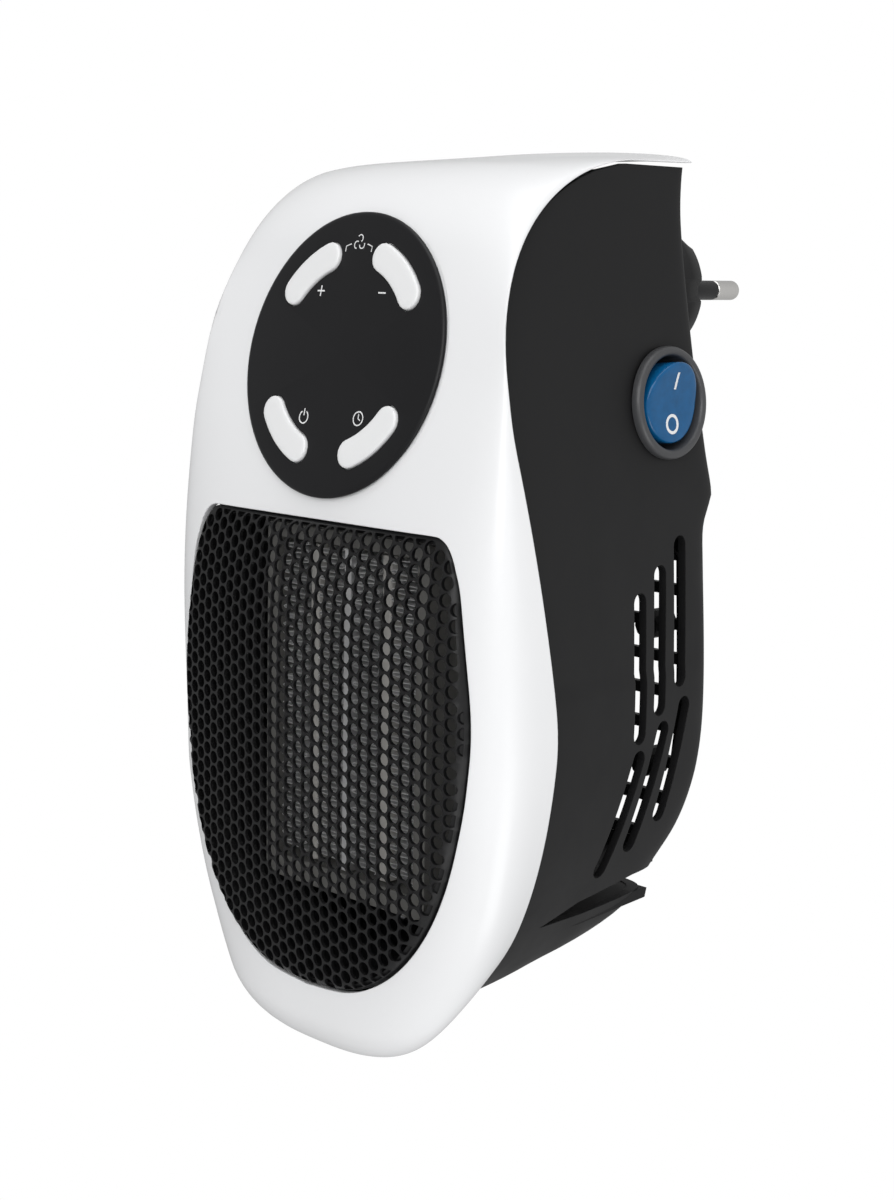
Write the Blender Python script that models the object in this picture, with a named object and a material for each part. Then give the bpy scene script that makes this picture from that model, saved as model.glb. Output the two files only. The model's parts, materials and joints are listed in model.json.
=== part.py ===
"""Plug-in ceramic fan heater, modelled as an assembly of separate pieces.

Frame: the origin is the centre of the plug's face, between the two pins.
+Y points into the wall socket, +X is to the viewer's right seen from the front, +Z is up.
All dimensions below are in millimetres; solid() turns them into metres.
"""
import math
from functools import lru_cache

import bmesh
import bpy
import numpy as np
from mathutils import Vector

MM = 0.001
GAP = 0.3                      # clearance between pieces that touch

# ---------------------------------------------------------------- plug
PIN_SPACING = 19.0             # centre to centre, the standard two-pin plug
PIN_RADIUS = 2.4
PIN_LENGTH = 19.0
PIN_SHANK = 26.0               # length of the pin inside the plug body
SLEEVE_END = 10.0
PLUG_RADIUS = 17.5
PLUG_FLAT = 14.2               # half height between the plug's two flats
PLUG_DEPTH = 33.7
NECK_RADIUS = 14.0
NECK_END = -46.5
CAVITY_RADIUS = 10.5           # hollow inside the neck, for the leads
BOSS_RADIUS = 19.5             # round socket on the back that the plug turns in
BOSS_FACE = -34.0

# ---------------------------------------------------------------- casing curves
SHELL_THICKNESS = 1.8
HOUSING_THICKNESS = 2.0
SEAM_INSET = 3.0               # the dark housing sits this far inside the white shell
SEAM_SETBACK = 1.0             # and its front edge this far behind the shell's
EGG_CENTRE = -84.0             # height of the widest place
EGG_HALF_WIDTH = 55.5
EGG_SQUARENESS = 2.4           # exponent of the curve below the widest place
EGG_RISE = 146.0               # the upper curve would close this far above the widest place
TOP_HALF_WIDTH = 42.0
DECK_BACK = -38.5              # depth of the top's rear edge
DECK_HEIGHT = 31.5
DECK_SLOPE = math.radians(5.5)
FACE_TOP = 16.0                # the face begins at this height, under the shoulder
PANEL_SETBACK = 1.0            # the white face lies this far behind the panel's face
SHOULDER_RADIUS = 24.0
BELLY_DEPTH = -111.5           # foremost depth of the white shell
BELLY_RADIUS = 240.0
BELLY_LOW = -134.0
CHIN_DEPTH = -112.5
CHIN_LOW = -173.5
CHIN_RADIUS = 8.0
CHIN_BACK = -97.0
CHIN_RISE = 4.5                # how much the underside rises from the chin to its rear edge
SEAM_DROP = 3.0                # the white shell's side edge starts this far below its top
SEAM_FRONT = -102.5            # foremost depth of that edge, beside the panel
SEAM_SHOULDER_RADIUS = 46.0
SEAM_BEND_RADIUS = 60.0
SEAM_BEND_HEIGHT = -28.0
SEAM_WAIST = -90.5             # rearmost depth of that edge, at the widest place
SEAM_CHIN = -93.0
SEAM_CHIN_HEIGHT = -140.0
SEAM_LOW = -165.5
# Squareness of the white shell's cross-section, (height, exponent).
ROUNDNESS = ((-172, 2.6), (-150, 3.2), (-115, 4.5), (-30, 4.5), (5, 2.7), (32, 2.1))
# Share of the rows used up at each share of the length, so that bends get more of them.
ROW_SHARES = (0, 0.12, 0.36, 0.6, 0.8, 0.92, 1)
ROW_STOPS = (0, 0.15, 0.28, 0.7, 0.9, 0.98, 1)
# Back of the dark housing on its centre line, (z, y), from the top down.
BACK_LINE = ((28.2, -38.4), (14, -38.8), (-12, -35.4), (-34, -31), (-44.6, -28.4), (-48, -29.4),
             (-53, -31.2), (-62, -31), (-85, -29.6), (-101, -29.6), (-113, -31.6), (-122, -34.8),
             (-131, -40.2), (-140, -42.5), (-148, -54), (-156, -73), (-162.5, -95.5))
BACK_HALF_WIDTH = 45.5         # half width of the dark housing at its back
BACK_SQUARENESS = 3.0
BACK_TAPER = 5.0               # how much narrower the back is at its top
BACK_TAPER_HEIGHT = 112.0

# ---------------------------------------------------------------- openings in the dark housing
# Finger groove under the back, (y, z), and the solid strip that closes it from the inside.
GROOVE = ((-81, -138.2), (-70, -134.4), (-51, -131.6), (-38, -131), (-38, -136.6), (-48.7, -136.7),
          (-66.6, -138))
GROOVE_LINER = ((-85, -141), (-84, -137.4), (-71, -132.2), (-52, -129.3), (-40.5, -129),
                (-43.4, -139), (-66, -141))
GROOVE_LINER_HALF = 34.0
# The groove inside that strip, 0.2 larger all round.
LINER_GROOVE = ((-81.6, -138.5), (-70, -134.2), (-51, -131.4), (-38, -130.8), (-38, -136.8),
                (-48.7, -136.9), (-66.6, -138.3))
# Side slots: (y, z) of the two end centres.
SIDE_SLOTS = (((-57.9, -67.5), (-57.4, -97)), ((-50.3, -62), (-50, -91.5)), ((-42.8, -56), (-42, -86)),
              ((-57, -103), (-65.2, -127)), ((-48.2, -97.5), (-56, -122.5)), ((-40, -93), (-46.2, -117)))
SLOT_RADIUS = 2.3
VENT_WIDTH = 79.0
VENT_TOP = -57.5
VENT_BOTTOM = -126.5
COVER_RECESS = 0.6             # the intake panel lies this far inside the housing's back
COVER_THICKNESS = 1.8
SCREW_RECESS = 1.0             # the cover screws' heads sit this far below its face
INTAKE_PITCH = 8.2
INTAKE_HALF_HEIGHT = 2.8
INTAKE_HALF_WIDTH = 37.6
INTAKE_RIB = 1.2               # half width of the rib down the middle

# ---------------------------------------------------------------- grille
GRILLE_CENTRE_WIDTH = 47.5     # half width where it is widest
GRILLE_TOP = -50.0
GRILLE_BOTTOM = -155.0
GRILLE_BULGE = 4.5
GRILLE_THICKNESS = 1.2
GRILLE_PITCH = 14.5            # spacing of the coarse openings
GRILLE_HOLE = 6.6

# ---------------------------------------------------------------- control panel
PANEL_CENTRE = (0.0, -104.05, -14.3)
PANEL_TILT = math.radians(12.7)
PANEL_RADIUS = 31.6
PANEL_BACK = -0.9
KEY_RING = 23.0                # radius of the ring that the keys lie on
KEY_ANGLES = {"key_plus": 128, "key_minus": 52, "key_power": 232, "key_timer": 308}
KEY_SPAN = 24                  # degrees that a key spans to each side of its centre
KEY_WIDTH = 6.4
KEY_PROUD = 0.7

# ---------------------------------------------------------------- rocker switch
SWITCH_Y = -47.5
SWITCH_Z = -24.0
BEZEL_RADIUS = 12.5
ROCKER_TILT = math.radians(10)
ROCKER_PIVOT_DEPTH = 0.5       # the rocker turns this far below the cheek's surface

# ---------------------------------------------------------------- heater and fan
CORE_CENTRE_Z = -94.0
CORE_HALF_HEIGHT = 37.0
CORE_FRONT = -101.0
CORE_BACK = -86.5
FIN_PITCH = 5.2
FAN_CENTRE_Z = -90.0
FAN_FRONT = -74.0
FAN_RADIUS = 33.5
FAN_BLADES = 7
IMPELLER_Y = -68.0

# ---------------------------------------------------------------- screws, (x, z) or panel (x, up)
COVER_SCREWS = ((-33, -76.3), (33, -76.3), (-33, -109.1), (33, -109.1))
CASE_SCREWS = ((-35, 22, -54), (35, 22, -54), (0, -145, -72))     # (x, z) and the head's seat
MAIN_SCREWS = ((-33, 15), (33, -30))
BOARD_SCREWS = ((0, 21), (0, -21))
RETAINER_SCREW_ANGLES = {"swivel_screw_1": 90, "swivel_screw_2": 270}
RETAINER_SCREW_RING = 12.3

LOOKS = {
    "white_gloss": ((0.83, 0.84, 0.85), 0.22, 0.0),
    "black_satin": ((0.028, 0.028, 0.03), 0.42, 0.0),
    "black_mesh": ((0.02, 0.02, 0.021), 0.5, 0.0),
    "panel_black": ((0.012, 0.012, 0.014), 0.25, 0.0),
    "key_white": ((0.8, 0.81, 0.82), 0.35, 0.0),
    "grey_plastic": ((0.09, 0.09, 0.095), 0.4, 0.0),
    "blue_clear": ((0.02, 0.12, 0.5), 0.15, 0.0),
    "nickel": ((0.75, 0.74, 0.72), 0.25, 1.0),
    "aluminium": ((0.7, 0.7, 0.71), 0.4, 1.0),
    "ceramic": ((0.55, 0.53, 0.5), 0.6, 0.0),
    "frame_plastic": ((0.45, 0.44, 0.42), 0.5, 0.0),
    "board_green": ((0.03, 0.16, 0.06), 0.5, 0.0),
    "brass": ((0.7, 0.52, 0.22), 0.35, 1.0),
    "steel": ((0.5, 0.5, 0.52), 0.35, 1.0),
    "wire_brown": ((0.16, 0.06, 0.03), 0.5, 0.0),
    "wire_blue": ((0.03, 0.12, 0.4), 0.5, 0.0),
    "relay_blue": ((0.02, 0.1, 0.35), 0.45, 0.0),
    "capacitor_yellow": ((0.7, 0.45, 0.06), 0.5, 0.0),
}


# ================================================================ helpers
def clear_scene():
    for obj in list(bpy.data.objects):
        bpy.data.objects.remove(obj, do_unlink=True)


def material(name):
    """A Principled material, made once and shared by name."""
    found = bpy.data.materials.get(name)
    if found:
        return found
    colour, roughness, metallic = LOOKS[name]
    made = bpy.data.materials.new(name)
    made.use_nodes = True
    shader = made.node_tree.nodes["Principled BSDF"]
    shader.inputs["Base Color"].default_value = (*colour, 1.0)
    shader.inputs["Roughness"].default_value = roughness
    shader.inputs["Metallic"].default_value = metallic
    return made


def solid(name, points, faces, look, origin=(0, 0, 0)):
    """One named object from points in millimetres, with its faces pointing out."""
    mesh = bpy.data.meshes.new(name)
    base = np.array(origin, float)
    mesh.from_pydata([tuple((np.array(p, float) - base) * MM) for p in points], [], faces)
    bm = bmesh.new()
    bm.from_mesh(mesh)
    bmesh.ops.remove_doubles(bm, verts=bm.verts, dist=1e-7)
    bmesh.ops.recalc_face_normals(bm, faces=bm.faces)
    if bm.calc_volume(signed=True) < 0:
        bmesh.ops.reverse_faces(bm, faces=bm.faces)
    bm.to_mesh(mesh)
    bm.free()
    obj = bpy.data.objects.new(name, mesh)
    obj.location = Vector(base * MM)
    bpy.context.scene.collection.objects.link(obj)
    if look:
        mesh.materials.append(material(look))
        mesh.shade_smooth()
        mesh.set_sharp_from_angle(angle=math.radians(35))
    return obj


def boolean(target, tool, operation):
    """Apply a tool solid to a target; the tool itself stays hidden."""
    tool.hide_render = True
    tool.display_type = "WIRE"
    step = target.modifiers.new(operation.lower(), "BOOLEAN")
    step.operation = operation
    step.object = tool


def cut(target, tool):
    boolean(target, tool, "DIFFERENCE")


def fuse(target, tool):
    boolean(target, tool, "UNION")


def block(name, low, high, look, origin=(0, 0, 0)):
    points = [(x, y, z) for x in (low[0], high[0]) for y in (low[1], high[1]) for z in (low[2], high[2])]
    faces = [(0, 1, 3, 2), (4, 6, 7, 5), (0, 4, 5, 1), (2, 3, 7, 6), (0, 2, 6, 4), (1, 5, 7, 3)]
    return solid(name, points, faces, look, origin)


def along_x(a, b, c):
    """Outline in (y, z), depth along x."""
    return (c, a, b)


def along_y(a, b, c):
    """Outline in (x, z), depth along y."""
    return (a, c, b)


def on_panel(a, b, c):
    """Outline on the control panel's face, c is the height above it."""
    up = np.array((0, math.sin(PANEL_TILT), math.cos(PANEL_TILT)))
    out = np.array((0, -math.cos(PANEL_TILT), math.sin(PANEL_TILT)))
    return tuple(np.array(PANEL_CENTRE) + np.array((a, 0, 0)) + b * up + c * out)


def panel_spot(x, up, way=1):
    """Place centred on a spot of the panel, with its third axis out of it (way 1) or into it (-1)."""
    return lambda a, b, c: on_panel(x + a, up + way * b, way * c)


def prism(name, outline, start, end, place, look, origin=(0, 0, 0)):
    """A flat outline pushed from one depth to another."""
    count = len(outline)
    points = [place(a, b, start) for a, b in outline] + [place(a, b, end) for a, b in outline]
    faces = [tuple(range(count)), tuple(range(2 * count - 1, count - 1, -1))]
    faces += [(i, (i + 1) % count, count + (i + 1) % count, count + i) for i in range(count)]
    return solid(name, points, faces, look, origin)


def circle(radius, sides, centre=(0, 0), turn=0.0):
    angles = [turn + 2 * math.pi * i / sides for i in range(sides)]
    return [(centre[0] + radius * math.cos(a), centre[1] + radius * math.sin(a)) for a in angles]


def rounded_box(width, height, radius, centre=(0, 0), steps=3):
    """Outline of a rectangle with round corners."""
    outline = []
    for corner, (sx, sy) in enumerate([(1, 1), (-1, 1), (-1, -1), (1, -1)]):
        for step in range(steps + 1):
            angle = math.pi / 2 * (corner + step / steps)
            x = centre[0] + sx * (width / 2 - radius) + radius * math.cos(angle)
            y = centre[1] + sy * (height / 2 - radius) + radius * math.sin(angle)
            outline.append((x, y))
    return outline


def capsule(start, end, radius, steps=4):
    """Outline of a slot with round ends, from one end centre to the other."""
    heading = math.atan2(end[1] - start[1], end[0] - start[0])
    outline = []
    for centre, turn in ((end, heading - math.pi / 2), (start, heading + math.pi / 2)):
        for step in range(steps + 1):
            angle = turn + math.pi * step / steps
            outline.append((centre[0] + radius * math.cos(angle), centre[1] + radius * math.sin(angle)))
    return outline


def turned(name, profile, sides, place, look, origin=(0, 0, 0)):
    """A closed (radius, height) profile turned round the place's third axis."""
    points = []
    faces = []
    count = len(profile)
    for i in range(sides):
        angle = 2 * math.pi * (i + 0.37) / sides
        points += [place(r * math.cos(angle), r * math.sin(angle), h) for r, h in profile]
    for i in range(sides):
        a, b = i * count, ((i + 1) % sides) * count
        for k in range(count):
            n = (k + 1) % count
            if profile[k][0] == 0 and profile[n][0] == 0:
                continue
            if profile[k][0] == 0:
                faces.append((a + k, a + n, b + n))
            elif profile[n][0] == 0:
                faces.append((a + k, a + n, b + k))
            else:
                faces.append((a + k, a + n, b + n, b + k))
    return solid(name, points, faces, look, origin)


def smooth_curve(knots, samples):
    """Points on a curve through the knots, evenly spread from knot to knot."""
    knots = np.array(knots, float)
    padded = np.vstack([2 * knots[0] - knots[1], knots, 2 * knots[-1] - knots[-2]])
    result = []
    for s in np.linspace(0, len(knots) - 1, samples):
        i = min(int(s), len(knots) - 2)
        t = s - i
        a, b, c, d = padded[i:i + 4]
        result.append(0.5 * (2 * b + (c - a) * t + (2 * a - 5 * b + 4 * c - d) * t ** 2
                             + (3 * b - a - 3 * c + d) * t ** 3))
    return np.array(result)


@lru_cache(maxsize=None)
def curve_table(knots):
    """A smooth curve of (height, value) knots, sorted by height."""
    curve = smooth_curve(knots, 12 * len(knots))
    order = np.argsort(curve[:, 0])
    return curve[order, 0], curve[order, 1]


def lookup(height, knots):
    """Value at a height on a smooth curve of (height, value) knots."""
    return float(np.interp(height, *curve_table(knots)))


def double_skin(name, outer, inner, look):
    """A shell from two matching grids whose last rows fold onto the centre plane."""
    rows, columns = outer.shape[:2]
    middle = columns // 2
    points = list(outer.reshape(-1, 3)) + list(inner.reshape(-1, 3))
    offset = rows * columns

    def index(r, c):
        if r == rows - 1:
            c = middle + abs(c - middle)
        return r * columns + c

    faces = []
    for r in range(rows - 1):
        for c in range(columns - 1):
            corners = [index(r, c), index(r, c + 1), index(r + 1, c + 1), index(r + 1, c)]
            faces.append(tuple(corners))
            faces.append(tuple(k + offset for k in reversed(corners)))
    border = [(index(0, c), index(0, c + 1)) for c in range(columns - 1)]
    border += [(index(r, columns - 1), index(r + 1, columns - 1)) for r in range(rows - 1)]
    border += [(index(r + 1, 0), index(r, 0)) for r in range(rows - 1)]
    for a, b in border:
        faces.append((b, a, a + offset, b + offset))
    used = sorted({k for face in faces for k in face})
    new = {k: i for i, k in enumerate(used)}
    faces = [tuple(dict.fromkeys(new[k] for k in face)) for face in faces]
    return solid(name, [points[k] for k in used], faces, look)


# ================================================================ casing
def rounded_line(corners, radii, steps=10):
    """A line through corners, each inner corner rounded by an arc of its radius."""
    corners = [np.array(corner, float) for corner in corners]
    line = [corners[0]]
    for before, corner, after, radius in zip(corners, corners[1:], corners[2:], radii):
        back = (before - corner) / np.linalg.norm(before - corner)
        ahead = (after - corner) / np.linalg.norm(after - corner)
        half = math.acos(float(np.clip(back @ ahead, -1, 1))) / 2
        middle = (back + ahead) / np.linalg.norm(back + ahead)
        centre = corner + middle * radius / math.sin(half)
        start = corner + back * radius / math.tan(half) - centre
        end = corner + ahead * radius / math.tan(half) - centre
        turn = math.pi - 2 * half
        for step in range(steps + 1):
            share = step / steps
            spoke = start * math.sin((1 - share) * turn) + end * math.sin(share * turn)
            line.append(centre + spoke / math.sin(turn))
    line.append(corners[-1])
    return np.array(line)


def spread(line, rows):
    """Points along a line, closer together in its bends."""
    steps = np.linalg.norm(np.diff(line, axis=0), axis=1)
    length = np.concatenate([[0], np.cumsum(steps)])
    places = np.interp(np.linspace(0, 1, rows), ROW_SHARES, ROW_STOPS) * length[-1]
    return np.stack([np.interp(places, length, line[:, axis]) for axis in (0, 1)], axis=1)


def centre_line():
    """The white shell on its centre plane, (y, z): top, shoulder, face, belly and chin."""
    lean = math.tan(PANEL_TILT)
    slope = math.tan(DECK_SLOPE)
    face_at_zero = PANEL_CENTRE[1] + PANEL_SETBACK - PANEL_CENTRE[2] * lean
    shoulder = (DECK_HEIGHT + slope * (face_at_zero - DECK_BACK)) / (1 - slope * lean)
    corners = [(DECK_BACK, DECK_HEIGHT), (face_at_zero + shoulder * lean, shoulder),
               (BELLY_DEPTH, (BELLY_DEPTH - face_at_zero) / lean), (BELLY_DEPTH, BELLY_LOW),
               (CHIN_DEPTH, CHIN_LOW), (CHIN_BACK, CHIN_LOW + CHIN_RISE)]
    return rounded_line(corners, (SHOULDER_RADIUS, BELLY_RADIUS, BELLY_RADIUS, CHIN_RADIUS))


def seam_line():
    """The white shell's side edge seen from the side, (y, z)."""
    top = DECK_HEIGHT - SEAM_DROP
    corners = [(DECK_BACK, top), (SEAM_FRONT, top - 1), (SEAM_FRONT, SEAM_BEND_HEIGHT),
               (SEAM_WAIST, EGG_CENTRE - 8), (SEAM_CHIN, SEAM_CHIN_HEIGHT), (SEAM_CHIN - 6, SEAM_LOW)]
    radii = (SEAM_SHOULDER_RADIUS, SEAM_BEND_RADIUS, SEAM_BEND_RADIUS, SEAM_BEND_RADIUS)
    return rounded_line(corners, radii)


def egg_half_width(z):
    """Half width of the white shell's side edge at a height."""
    if z < EGG_CENTRE:
        fall = min(1.0, (EGG_CENTRE - z) / (EGG_CENTRE - SEAM_LOW))
        return EGG_HALF_WIDTH * (1 - fall ** EGG_SQUARENESS) ** (1 / EGG_SQUARENESS)
    egg = EGG_HALF_WIDTH * math.sqrt(1 - ((z - EGG_CENTRE) / EGG_RISE) ** 2)
    return (egg ** 16 + TOP_HALF_WIDTH ** 16) ** (1 / 16)


def shell_seam(rows):
    """The white shell's edge on its right side, (x, y, z), from the top down."""
    side = spread(seam_line(), rows)
    seam = np.column_stack([[egg_half_width(z) for z in side[:, 1]], side])
    seam[-1, 0] = 0
    return seam


@lru_cache(maxsize=None)
def front_table():
    """Height and depth of the centre line's front, sorted by height."""
    line = spread(centre_line(), 200)
    line = line[line[:, 1] < FACE_TOP]
    order = np.argsort(line[:, 1])
    return line[order, 1], line[order, 0]


def front_depth(z):
    """y of the white shell's face on the centre plane at a height."""
    return float(np.interp(z, *front_table()))


def shell_skin(thickness, rows=26, half_columns=7):
    """Grid of the white shell's surface, moved inward by the thickness."""
    centre = spread(centre_line(), rows)
    seam = shell_seam(rows)
    heights, exponents = zip(*ROUNDNESS)
    exponent = np.interp(centre[:, 1], heights, exponents)
    ahead = np.gradient(centre, axis=0)
    normal = np.stack([-ahead[:, 1], ahead[:, 0]], axis=1)
    normal /= np.linalg.norm(normal, axis=1)[:, None]
    centre = centre + thickness * normal
    shrink = 1 - thickness / (EGG_CENTRE - SEAM_LOW)
    low = seam[:, 2] < EGG_CENTRE
    seam[:, 0] = np.where(low, seam[:, 0] * shrink, seam[:, 0] - thickness)
    seam[:, 2] = np.where(low, EGG_CENTRE + (seam[:, 2] - EGG_CENTRE) * shrink, seam[:, 2])
    seam[-1, 0] = 0
    grid = np.zeros((rows, 2 * half_columns + 1, 3))
    for c in range(-half_columns, half_columns + 1):
        angle = math.pi / 2 * abs(c) / half_columns
        side = math.sin(angle) ** (2 / exponent) * (1 if c > 0 else -1)
        back = 1 - max(math.cos(angle), 0.0) ** (2 / exponent)
        grid[:, c + half_columns, 0] = seam[:, 0] * side
        grid[:, c + half_columns, 1] = centre[:, 0] + (seam[:, 1] - centre[:, 0]) * back
        grid[:, c + half_columns, 2] = centre[:, 1] + (seam[:, 2] - centre[:, 1]) * back
    return grid


def grille_outline(margin, steps=6):
    """Outline of the outlet, (x, z): a straight top, full sides and an egg-shaped foot."""
    half = GRILLE_CENTRE_WIDTH - margin
    top = GRILLE_TOP - margin
    bottom = GRILLE_BOTTOM + margin
    right = [(half * 0.80, top), (half * 0.89, top - 4), (half * 0.945, top - 14)]
    for step in range(steps + 1):
        angle = math.pi / 2 * step / steps
        x = half * math.cos(angle) ** 0.8
        z = EGG_CENTRE - 2 - (EGG_CENTRE - 2 - bottom) * math.sin(angle) ** 0.92
        right.append((x, z))
    left = [(-x, z) for x, z in reversed(right[:-1])]
    return right + left


def front_shell():
    shell = double_skin("front_shell", shell_skin(0), shell_skin(SHELL_THICKNESS), "white_gloss")
    cut(shell, prism("cut_outlet", grille_outline(0), -130, -96.5, along_y, None))
    cut(shell, turned("cut_panel_seat", [(0, 4), (0, -1.2), (32, -1.2), (32, 4)], 40, on_panel, None))
    cut(shell, turned("cut_panel_hole", [(0, 3), (0, -9), (28, -9), (28, 3)], 32, on_panel, None))


def grille_surface(x, z):
    """y of the grille's front face."""
    edge = front_depth(z) + 0.6
    reach = max(0.0, 1 - (x / GRILLE_CENTRE_WIDTH) ** 2 - ((z + 100) / 60) ** 4)
    return edge - GRILLE_BULGE * reach


def front_grille():
    outline = grille_outline(GAP)
    levels = np.linspace(0, 1, 6)
    xs = [p[0] for p in outline]
    zs = [p[1] for p in outline]
    middle = (0, -100)
    rings = []
    for level in levels[1:]:
        ring = [(middle[0] + (x - middle[0]) * level, middle[1] + (z - middle[1]) * level)
                for x, z in zip(xs, zs)]
        rings.append(ring)
    count = len(outline)
    points = [(middle[0], grille_surface(*middle), middle[1])]
    for ring in rings:
        points += [(x, grille_surface(x, z), z) for x, z in ring]
    front = len(points)
    points += [(x, y + GRILLE_THICKNESS, z) for x, y, z in points]
    faces = []
    for i in range(count):
        n = (i + 1) % count
        faces.append((0, 1 + i, 1 + n))
        faces.append((front, front + 1 + n, front + 1 + i))
        for k in range(len(rings) - 1):
            a, b = 1 + k * count, 1 + (k + 1) * count
            faces.append((a + i, b + i, b + n, a + n))
            faces.append((front + a + i, front + a + n, front + b + n, front + b + i))
        a = 1 + (len(rings) - 1) * count
        faces.append((a + i, front + a + i, front + a + n, a + n))
    grille = solid("front_grille", points, faces, "black_mesh")
    cut(grille, grille_holes())


def grille_holes():
    """Hexagonal openings in staggered columns, kept clear of the rim."""
    points = []
    faces = []
    column = GRILLE_PITCH * math.sqrt(3) / 2
    for i in range(-3, 4):
        for j in range(-8, 2):
            x = i * column
            z = -60 + GRILLE_PITCH * (j + 0.5 * (i % 2))
            if not inside_outline(x, z, grille_outline(GRILLE_HOLE + 2.5)):
                continue
            base = len(points)
            ring = circle(GRILLE_HOLE, 6, (x, z), 0)
            points += [(a, -125, b) for a, b in ring] + [(a, -97, b) for a, b in ring]
            faces.append(tuple(base + k for k in range(6)))
            faces.append(tuple(base + 11 - k for k in range(6)))
            for k in range(6):
                following = (k + 1) % 6
                faces.append((base + k, base + following, base + 6 + following, base + 6 + k))
    return solid("cut_grille", points, faces, None)


def inside_outline(x, z, outline):
    inside = False
    for (x1, z1), (x2, z2) in zip(outline, outline[1:] + outline[:1]):
        if (z1 > z) != (z2 > z) and x < x1 + (z - z1) * (x2 - x1) / (z2 - z1):
            inside = not inside
    return inside


@lru_cache(maxsize=None)
def seam_table():
    """The dark housing's front edge, sorted by height: heights, x and y."""
    seam = shell_seam(120)
    shrink = 1 - SEAM_INSET / (EGG_CENTRE - SEAM_LOW)
    low = seam[:, 2] < EGG_CENTRE
    inset = np.interp(seam[:, 2], [EGG_CENTRE, 0, 28], [SEAM_INSET, SEAM_INSET, 0.6])
    x = np.where(low, seam[:, 0] * shrink, seam[:, 0] - inset)
    height = np.where(low, EGG_CENTRE + (seam[:, 2] - EGG_CENTRE) * shrink, seam[:, 2] - 0.5)
    order = np.argsort(height)
    front = seam[:, 1] + SEAM_SETBACK
    return height[order], x[order], front[order]


def housing_seam(z):
    """Front edge (x, y) of the dark housing at a height."""
    height, x, y = seam_table()
    return float(np.interp(z, height, x)), float(np.interp(z, height, y))


def back_half_width(z):
    """Half width of the dark housing at its back at a height."""
    if z < EGG_CENTRE:
        fall = min(1.0, (EGG_CENTRE - z) / (EGG_CENTRE - housing_lowest()))
        return BACK_HALF_WIDTH * (1 - fall ** BACK_SQUARENESS) ** (1 / BACK_SQUARENESS)
    return BACK_HALF_WIDTH - BACK_TAPER * ((z - EGG_CENTRE) / BACK_TAPER_HEIGHT) ** 2


def housing_point(z, fraction_x, fraction_y):
    """A point of the housing's section: fractions of its half width and of its depth."""
    front_x, front_y = housing_seam(z)
    half = front_x + (back_half_width(z) - front_x) * fraction_y
    return (half * fraction_x, front_y + (lookup(z, BACK_LINE) - front_y) * fraction_y, z)


def section_fractions(squareness):
    """Fractions (x, y) along a quarter section, from the front edge to the back's middle."""
    corner = 2 ** (-1 / squareness)
    side = [corner * share for share in (0, 0.35, 0.65, 0.88, 1)]
    back = [corner * share for share in (0.9, 0.65, 0.35, 0)]
    result = [((1 - f ** squareness) ** (1 / squareness), f) for f in side]
    return result + [(g, (1 - g ** squareness) ** (1 / squareness)) for g in back]


def housing_skin():
    """Grid of the dark housing's outer surface, from its top edge to its foot."""
    lowest = housing_lowest()
    heights = [27.5, 24, 14, 2, -12, -34, -44.6, -49, -53, -62, -78, -94, -108, -118, -126, -131]
    heights += [-131 + (lowest + 131) * math.sin(math.pi / 2 * k / 6) for k in range(1, 7)]
    grid = []
    for z in heights:
        square = float(np.interp(z, [lowest, -150, -131, -110], [2.4, 4, 16, 36]))
        quarter = [housing_point(z, fx, fy) for fx, fy in section_fractions(square)]
        grid.append([(-x, y, h) for x, y, h in quarter] + list(reversed(quarter[:-1])))
    grid = np.array(grid)
    grid[-1, :, 0] = 0
    return grid


def open_skin(name, grid, thickness, look):
    """A skin of even thickness from one grid whose last row folds onto the centre plane."""
    rows, columns = grid.shape[:2]
    middle = columns // 2

    def index(r, c):
        if r == rows - 1:
            c = middle + abs(c - middle)
        return r * columns + c

    faces = [(index(r, c), index(r, c + 1), index(r + 1, c + 1), index(r + 1, c))
             for r in range(rows - 1) for c in range(columns - 1)]
    mesh = bpy.data.meshes.new(name)
    mesh.from_pydata([tuple(p * MM) for p in grid.reshape(-1, 3)], [], faces)
    bm = bmesh.new()
    bm.from_mesh(mesh)
    bmesh.ops.delete(bm, geom=[v for v in bm.verts if not v.link_faces], context="VERTS")
    bmesh.ops.remove_doubles(bm, verts=bm.verts, dist=0.0003)
    bm.to_mesh(mesh)
    bm.free()
    mesh.materials.append(material(look))
    mesh.shade_smooth()
    mesh.set_sharp_from_angle(angle=math.radians(35))
    obj = bpy.data.objects.new(name, mesh)
    bpy.context.scene.collection.objects.link(obj)
    solidify = obj.modifiers.new("wall", "SOLIDIFY")
    solidify.thickness = thickness * MM
    solidify.offset = -1
    return obj


def housing_lowest():
    return SEAM_LOW + SEAM_INSET


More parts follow.
